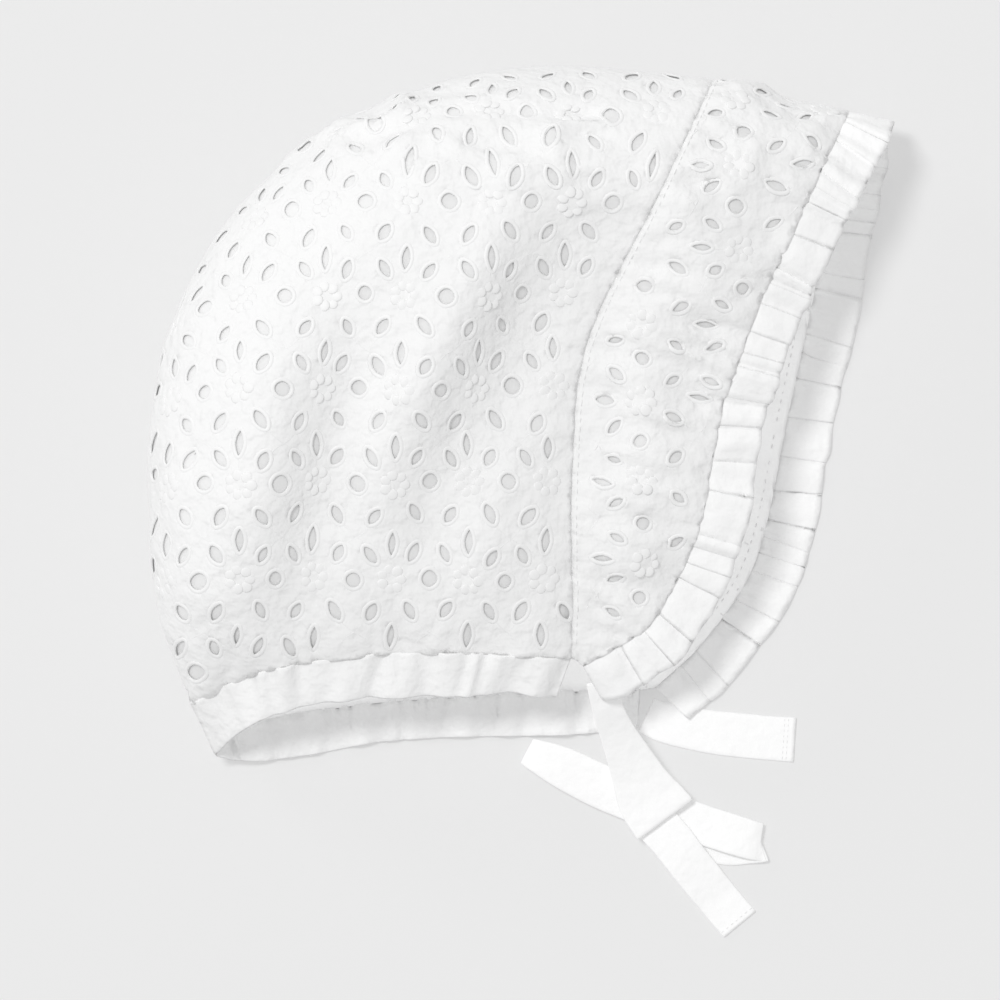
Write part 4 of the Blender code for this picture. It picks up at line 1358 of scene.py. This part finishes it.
def tie(name, route, seed, stitched_ends=()):
    """A flat folded strap of cotton along a route, with soft wrinkles; gives the rows for its stitches."""
    at = np.linspace(0, len(route) - 1, (len(route) - 1) * TIE_STEPS + 1)
    x, y, z, width = (curve_through(np.arange(len(route)), column, at) for column in zip(*route))
    middle = np.column_stack((x * BONNET_DEPTH, y * BONNET_HEIGHT, np.maximum(z, 0)))
    half = width * TIE_WIDTH / 2
    sides, last = [], None
    for k in range(len(at)):
        run = middle[min(k + 2, len(at) - 1)] - middle[max(k - 2, 0)]
        side = np.array((run[1], -run[0], 0))
        size = np.linalg.norm(side)
        side = side / size if size > TIE_LEAST_RUN or last is None else last
        if last is not None and side @ last < 0:
            side = -side
        last = side
        sides.append(side)
    sides = np.array(sides)
    for turn in range(TIE_SMOOTHINGS):
        sides[1:-1] = (sides[:-2] + 2 * sides[1:-1] + sides[2:]) / 4
    sides = unit(sides)
    up = unit(np.cross(sides, np.gradient(middle, axis=0)))
    s = lengths_along(middle)
    points = []
    for across, lift in TIE_RING:
        line = np.column_stack((s / (7 * MM), np.full_like(s, across * 0.8 + seed)))
        wrinkle = 0.22 * MM * noise(line, 1.0, seed) * (lift > 0) * (1 - 0.5 * abs(across))
        line = np.column_stack((s / (11 * MM), np.full_like(s, seed + np.sign(across))))
        edge = 0.25 * MM * noise(line, 1.0, 9)
        place = middle + sides * (half * across + edge * abs(across))[:, None]
        place += up * (TIE_WALL / 2 + lift * TIE_THICKNESS / 2 + wrinkle)[:, None]
        place[:, 2] = np.maximum(place[:, 2], 0.03 * MM)
        points.append(place)
    mesh = closed_mesh(name + "_cloth", np.stack(points, axis=1), s)
    piece = add_piece(name + "_cloth", mesh, TIE_CLOTH, name)
    flat_width = max(TIE_WIDTH, round(float(half.mean() * 2), 4))
    rows = []
    for end in stitched_ends:
        k = int(np.searchsorted(s, s[-1] + end if end < 0 else end))
        spot = middle[k] + up[k] * (TIE_WALL / 2 + TIE_THICKNESS / 2 + 0.06 * MM)
        across = np.linspace(-TIE_STITCH_REACH, TIE_STITCH_REACH, TIE_STITCH_POINTS)
        line = spot + across[:, None] * half[k] * sides[k]
        rows.append((line, np.repeat(up[k][None], TIE_STITCH_POINTS, axis=0), False))
    return rows


# -------- stitch rows

def stitches(name, node, slot, rows, pitch, length, thread):
    values = {"Pitch": pitch, "Stitch Length": length, "Thread": thread}
    worked(name, node, slot, rows, STITCH_ROW, values, THREAD)


def beside_hoop(hoop, distance, h):
    """Hoop numbers of places at a distance from a hoop, towards the face if it is negative."""
    return hoop + distance / bonnet.read(bonnet.row_step, np.full_like(h, hoop), h)


# -------- all pieces

eyelet_piece("crown_cloth", SEAM_HOOP, LAST_HOOP, crown_lattice)
eyelet_piece("brim_cloth", 0, SEAM_HOOP, brim_lattice)
lining()
ruffle()
neck_band()

strap_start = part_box("near_tie")[1].z - TIE_WALL
tie("near_tie", [STRAP_ROUTE[0]._replace(z=strap_start), *STRAP_ROUTE[1:]], seed=1)
tie("bow_left_loop", LEFT_LOOP_ROUTE, seed=2)
tie("bow_right_loop", RIGHT_LOOP_ROUTE, seed=3)
tail_rows = tie("bow_tail", TAIL_ROUTE, seed=4, stitched_ends=(-1.6 * MM,))
far_rows = tie("far_tie", FAR_TIE_ROUTE, seed=5, stitched_ends=(-1.9 * MM, -3.6 * MM))

upper_h = np.linspace(0.03, 0.97, 240)
seam_t = beside_hoop(SEAM_HOOP, -1.2 * MM, upper_h)
seam_ups = bonnet.read(bonnet.normals, seam_t, upper_h)
seam_row = (on_cloth(seam_t, upper_h, CLOTH_LIFT + 0.24 * MM), seam_ups, False)
topstitch = {"pitch": 2.2 * MM, "length": 1.5 * MM, "thread": 0.26 * MM}
stitches("seam_stitches", "brim", "eyelet_cotton", [seam_row], **topstitch)
lower_h = np.linspace(-0.95, -0.12, 90)
places, outward = on_lining(beside_hoop(0, 2.6 * MM, lower_h), lower_h, 0.22 * MM)
lining_row = (places, -outward, False)
running = {"pitch": 2.4 * MM, "length": 1.2 * MM, "thread": 0.36 * MM}
stitches("lining_stitches", "lining", "lining_cotton", [lining_row], **running)
hem = {"pitch": 1.3 * MM, "length": 0.8 * MM, "thread": 0.18 * MM}
stitches("tail_stitches", "bow_tail", "plain_cotton", tail_rows, **hem)
stitches("far_tie_stitches", "far_tie", "plain_cotton", far_rows, **hem)


# -------- floor, light and camera

FLOOR_SIDE = 6.0
FLOOR_GLOW = 0.30
ROOM_LIGHT = 0.62
CAMERA_HEIGHT = 8.0
VIEW_SIDE = 0.25
VIEW_CENTRE = (17.5 * MM, -17.5 * MM)


def floor():
    half = FLOOR_SIDE / 2
    mesh = bpy.data.meshes.new("floor")
    corners = [(-half, -half, 0), (half, -half, 0), (half, half, 0), (-half, half, 0)]
    mesh.from_pydata(corners, [], [(0, 1, 2, 3)])
    material, graph, shader, place = new_finish("pale_floor")
    graph.put(shader, {
        "Base Color": between(graph, speckle(graph, place, 3.0, 2.0), grey(0.53), grey(0.54)),
        "Roughness": 0.9,
        "Specular IOR Level": 0.1,
        "Emission Color": WHITE,
        "Emission Strength": FLOOR_GLOW,
    })
    mesh.materials.append(material)
    linked("floor", mesh)


def soft_light(name, place, side, power):
    """A round lamp that shines at the origin."""
    lamp = bpy.data.lights.new(name, "AREA")
    lamp.shape, lamp.size, lamp.energy = "DISK", side, power
    holder = linked(name, lamp)
    holder.location = place
    holder.rotation_euler = (-Vector(place)).to_track_quat("-Z", "Y").to_euler()


def surroundings(strength):
    world = bpy.data.worlds.new("studio")
    world.use_nodes = True
    background = world.node_tree.nodes["Background"]
    background.inputs["Color"].default_value = WHITE
    background.inputs["Strength"].default_value = strength
    bpy.context.scene.world = world


def camera():
    """Straight down above the floor, with VIEW_SIDE of it in the frame."""
    lens = bpy.data.cameras.new("camera")
    lens.sensor_width = 36.0
    lens.lens = lens.sensor_width * CAMERA_HEIGHT / VIEW_SIDE
    lens.clip_end = 2 * CAMERA_HEIGHT
    holder = linked("camera", lens)
    holder.location = (*VIEW_CENTRE, CAMERA_HEIGHT)
    bpy.context.scene.camera = holder


floor()
surroundings(ROOM_LIGHT)
soft_light("key", (-1.7, 1.5, 5.8), side=1.3, power=140.0)
soft_light("low", (-4.6, 3.6, 2.1), side=2.4, power=29.0)
camera()
bpy.context.scene.view_settings.view_transform = "Standard"
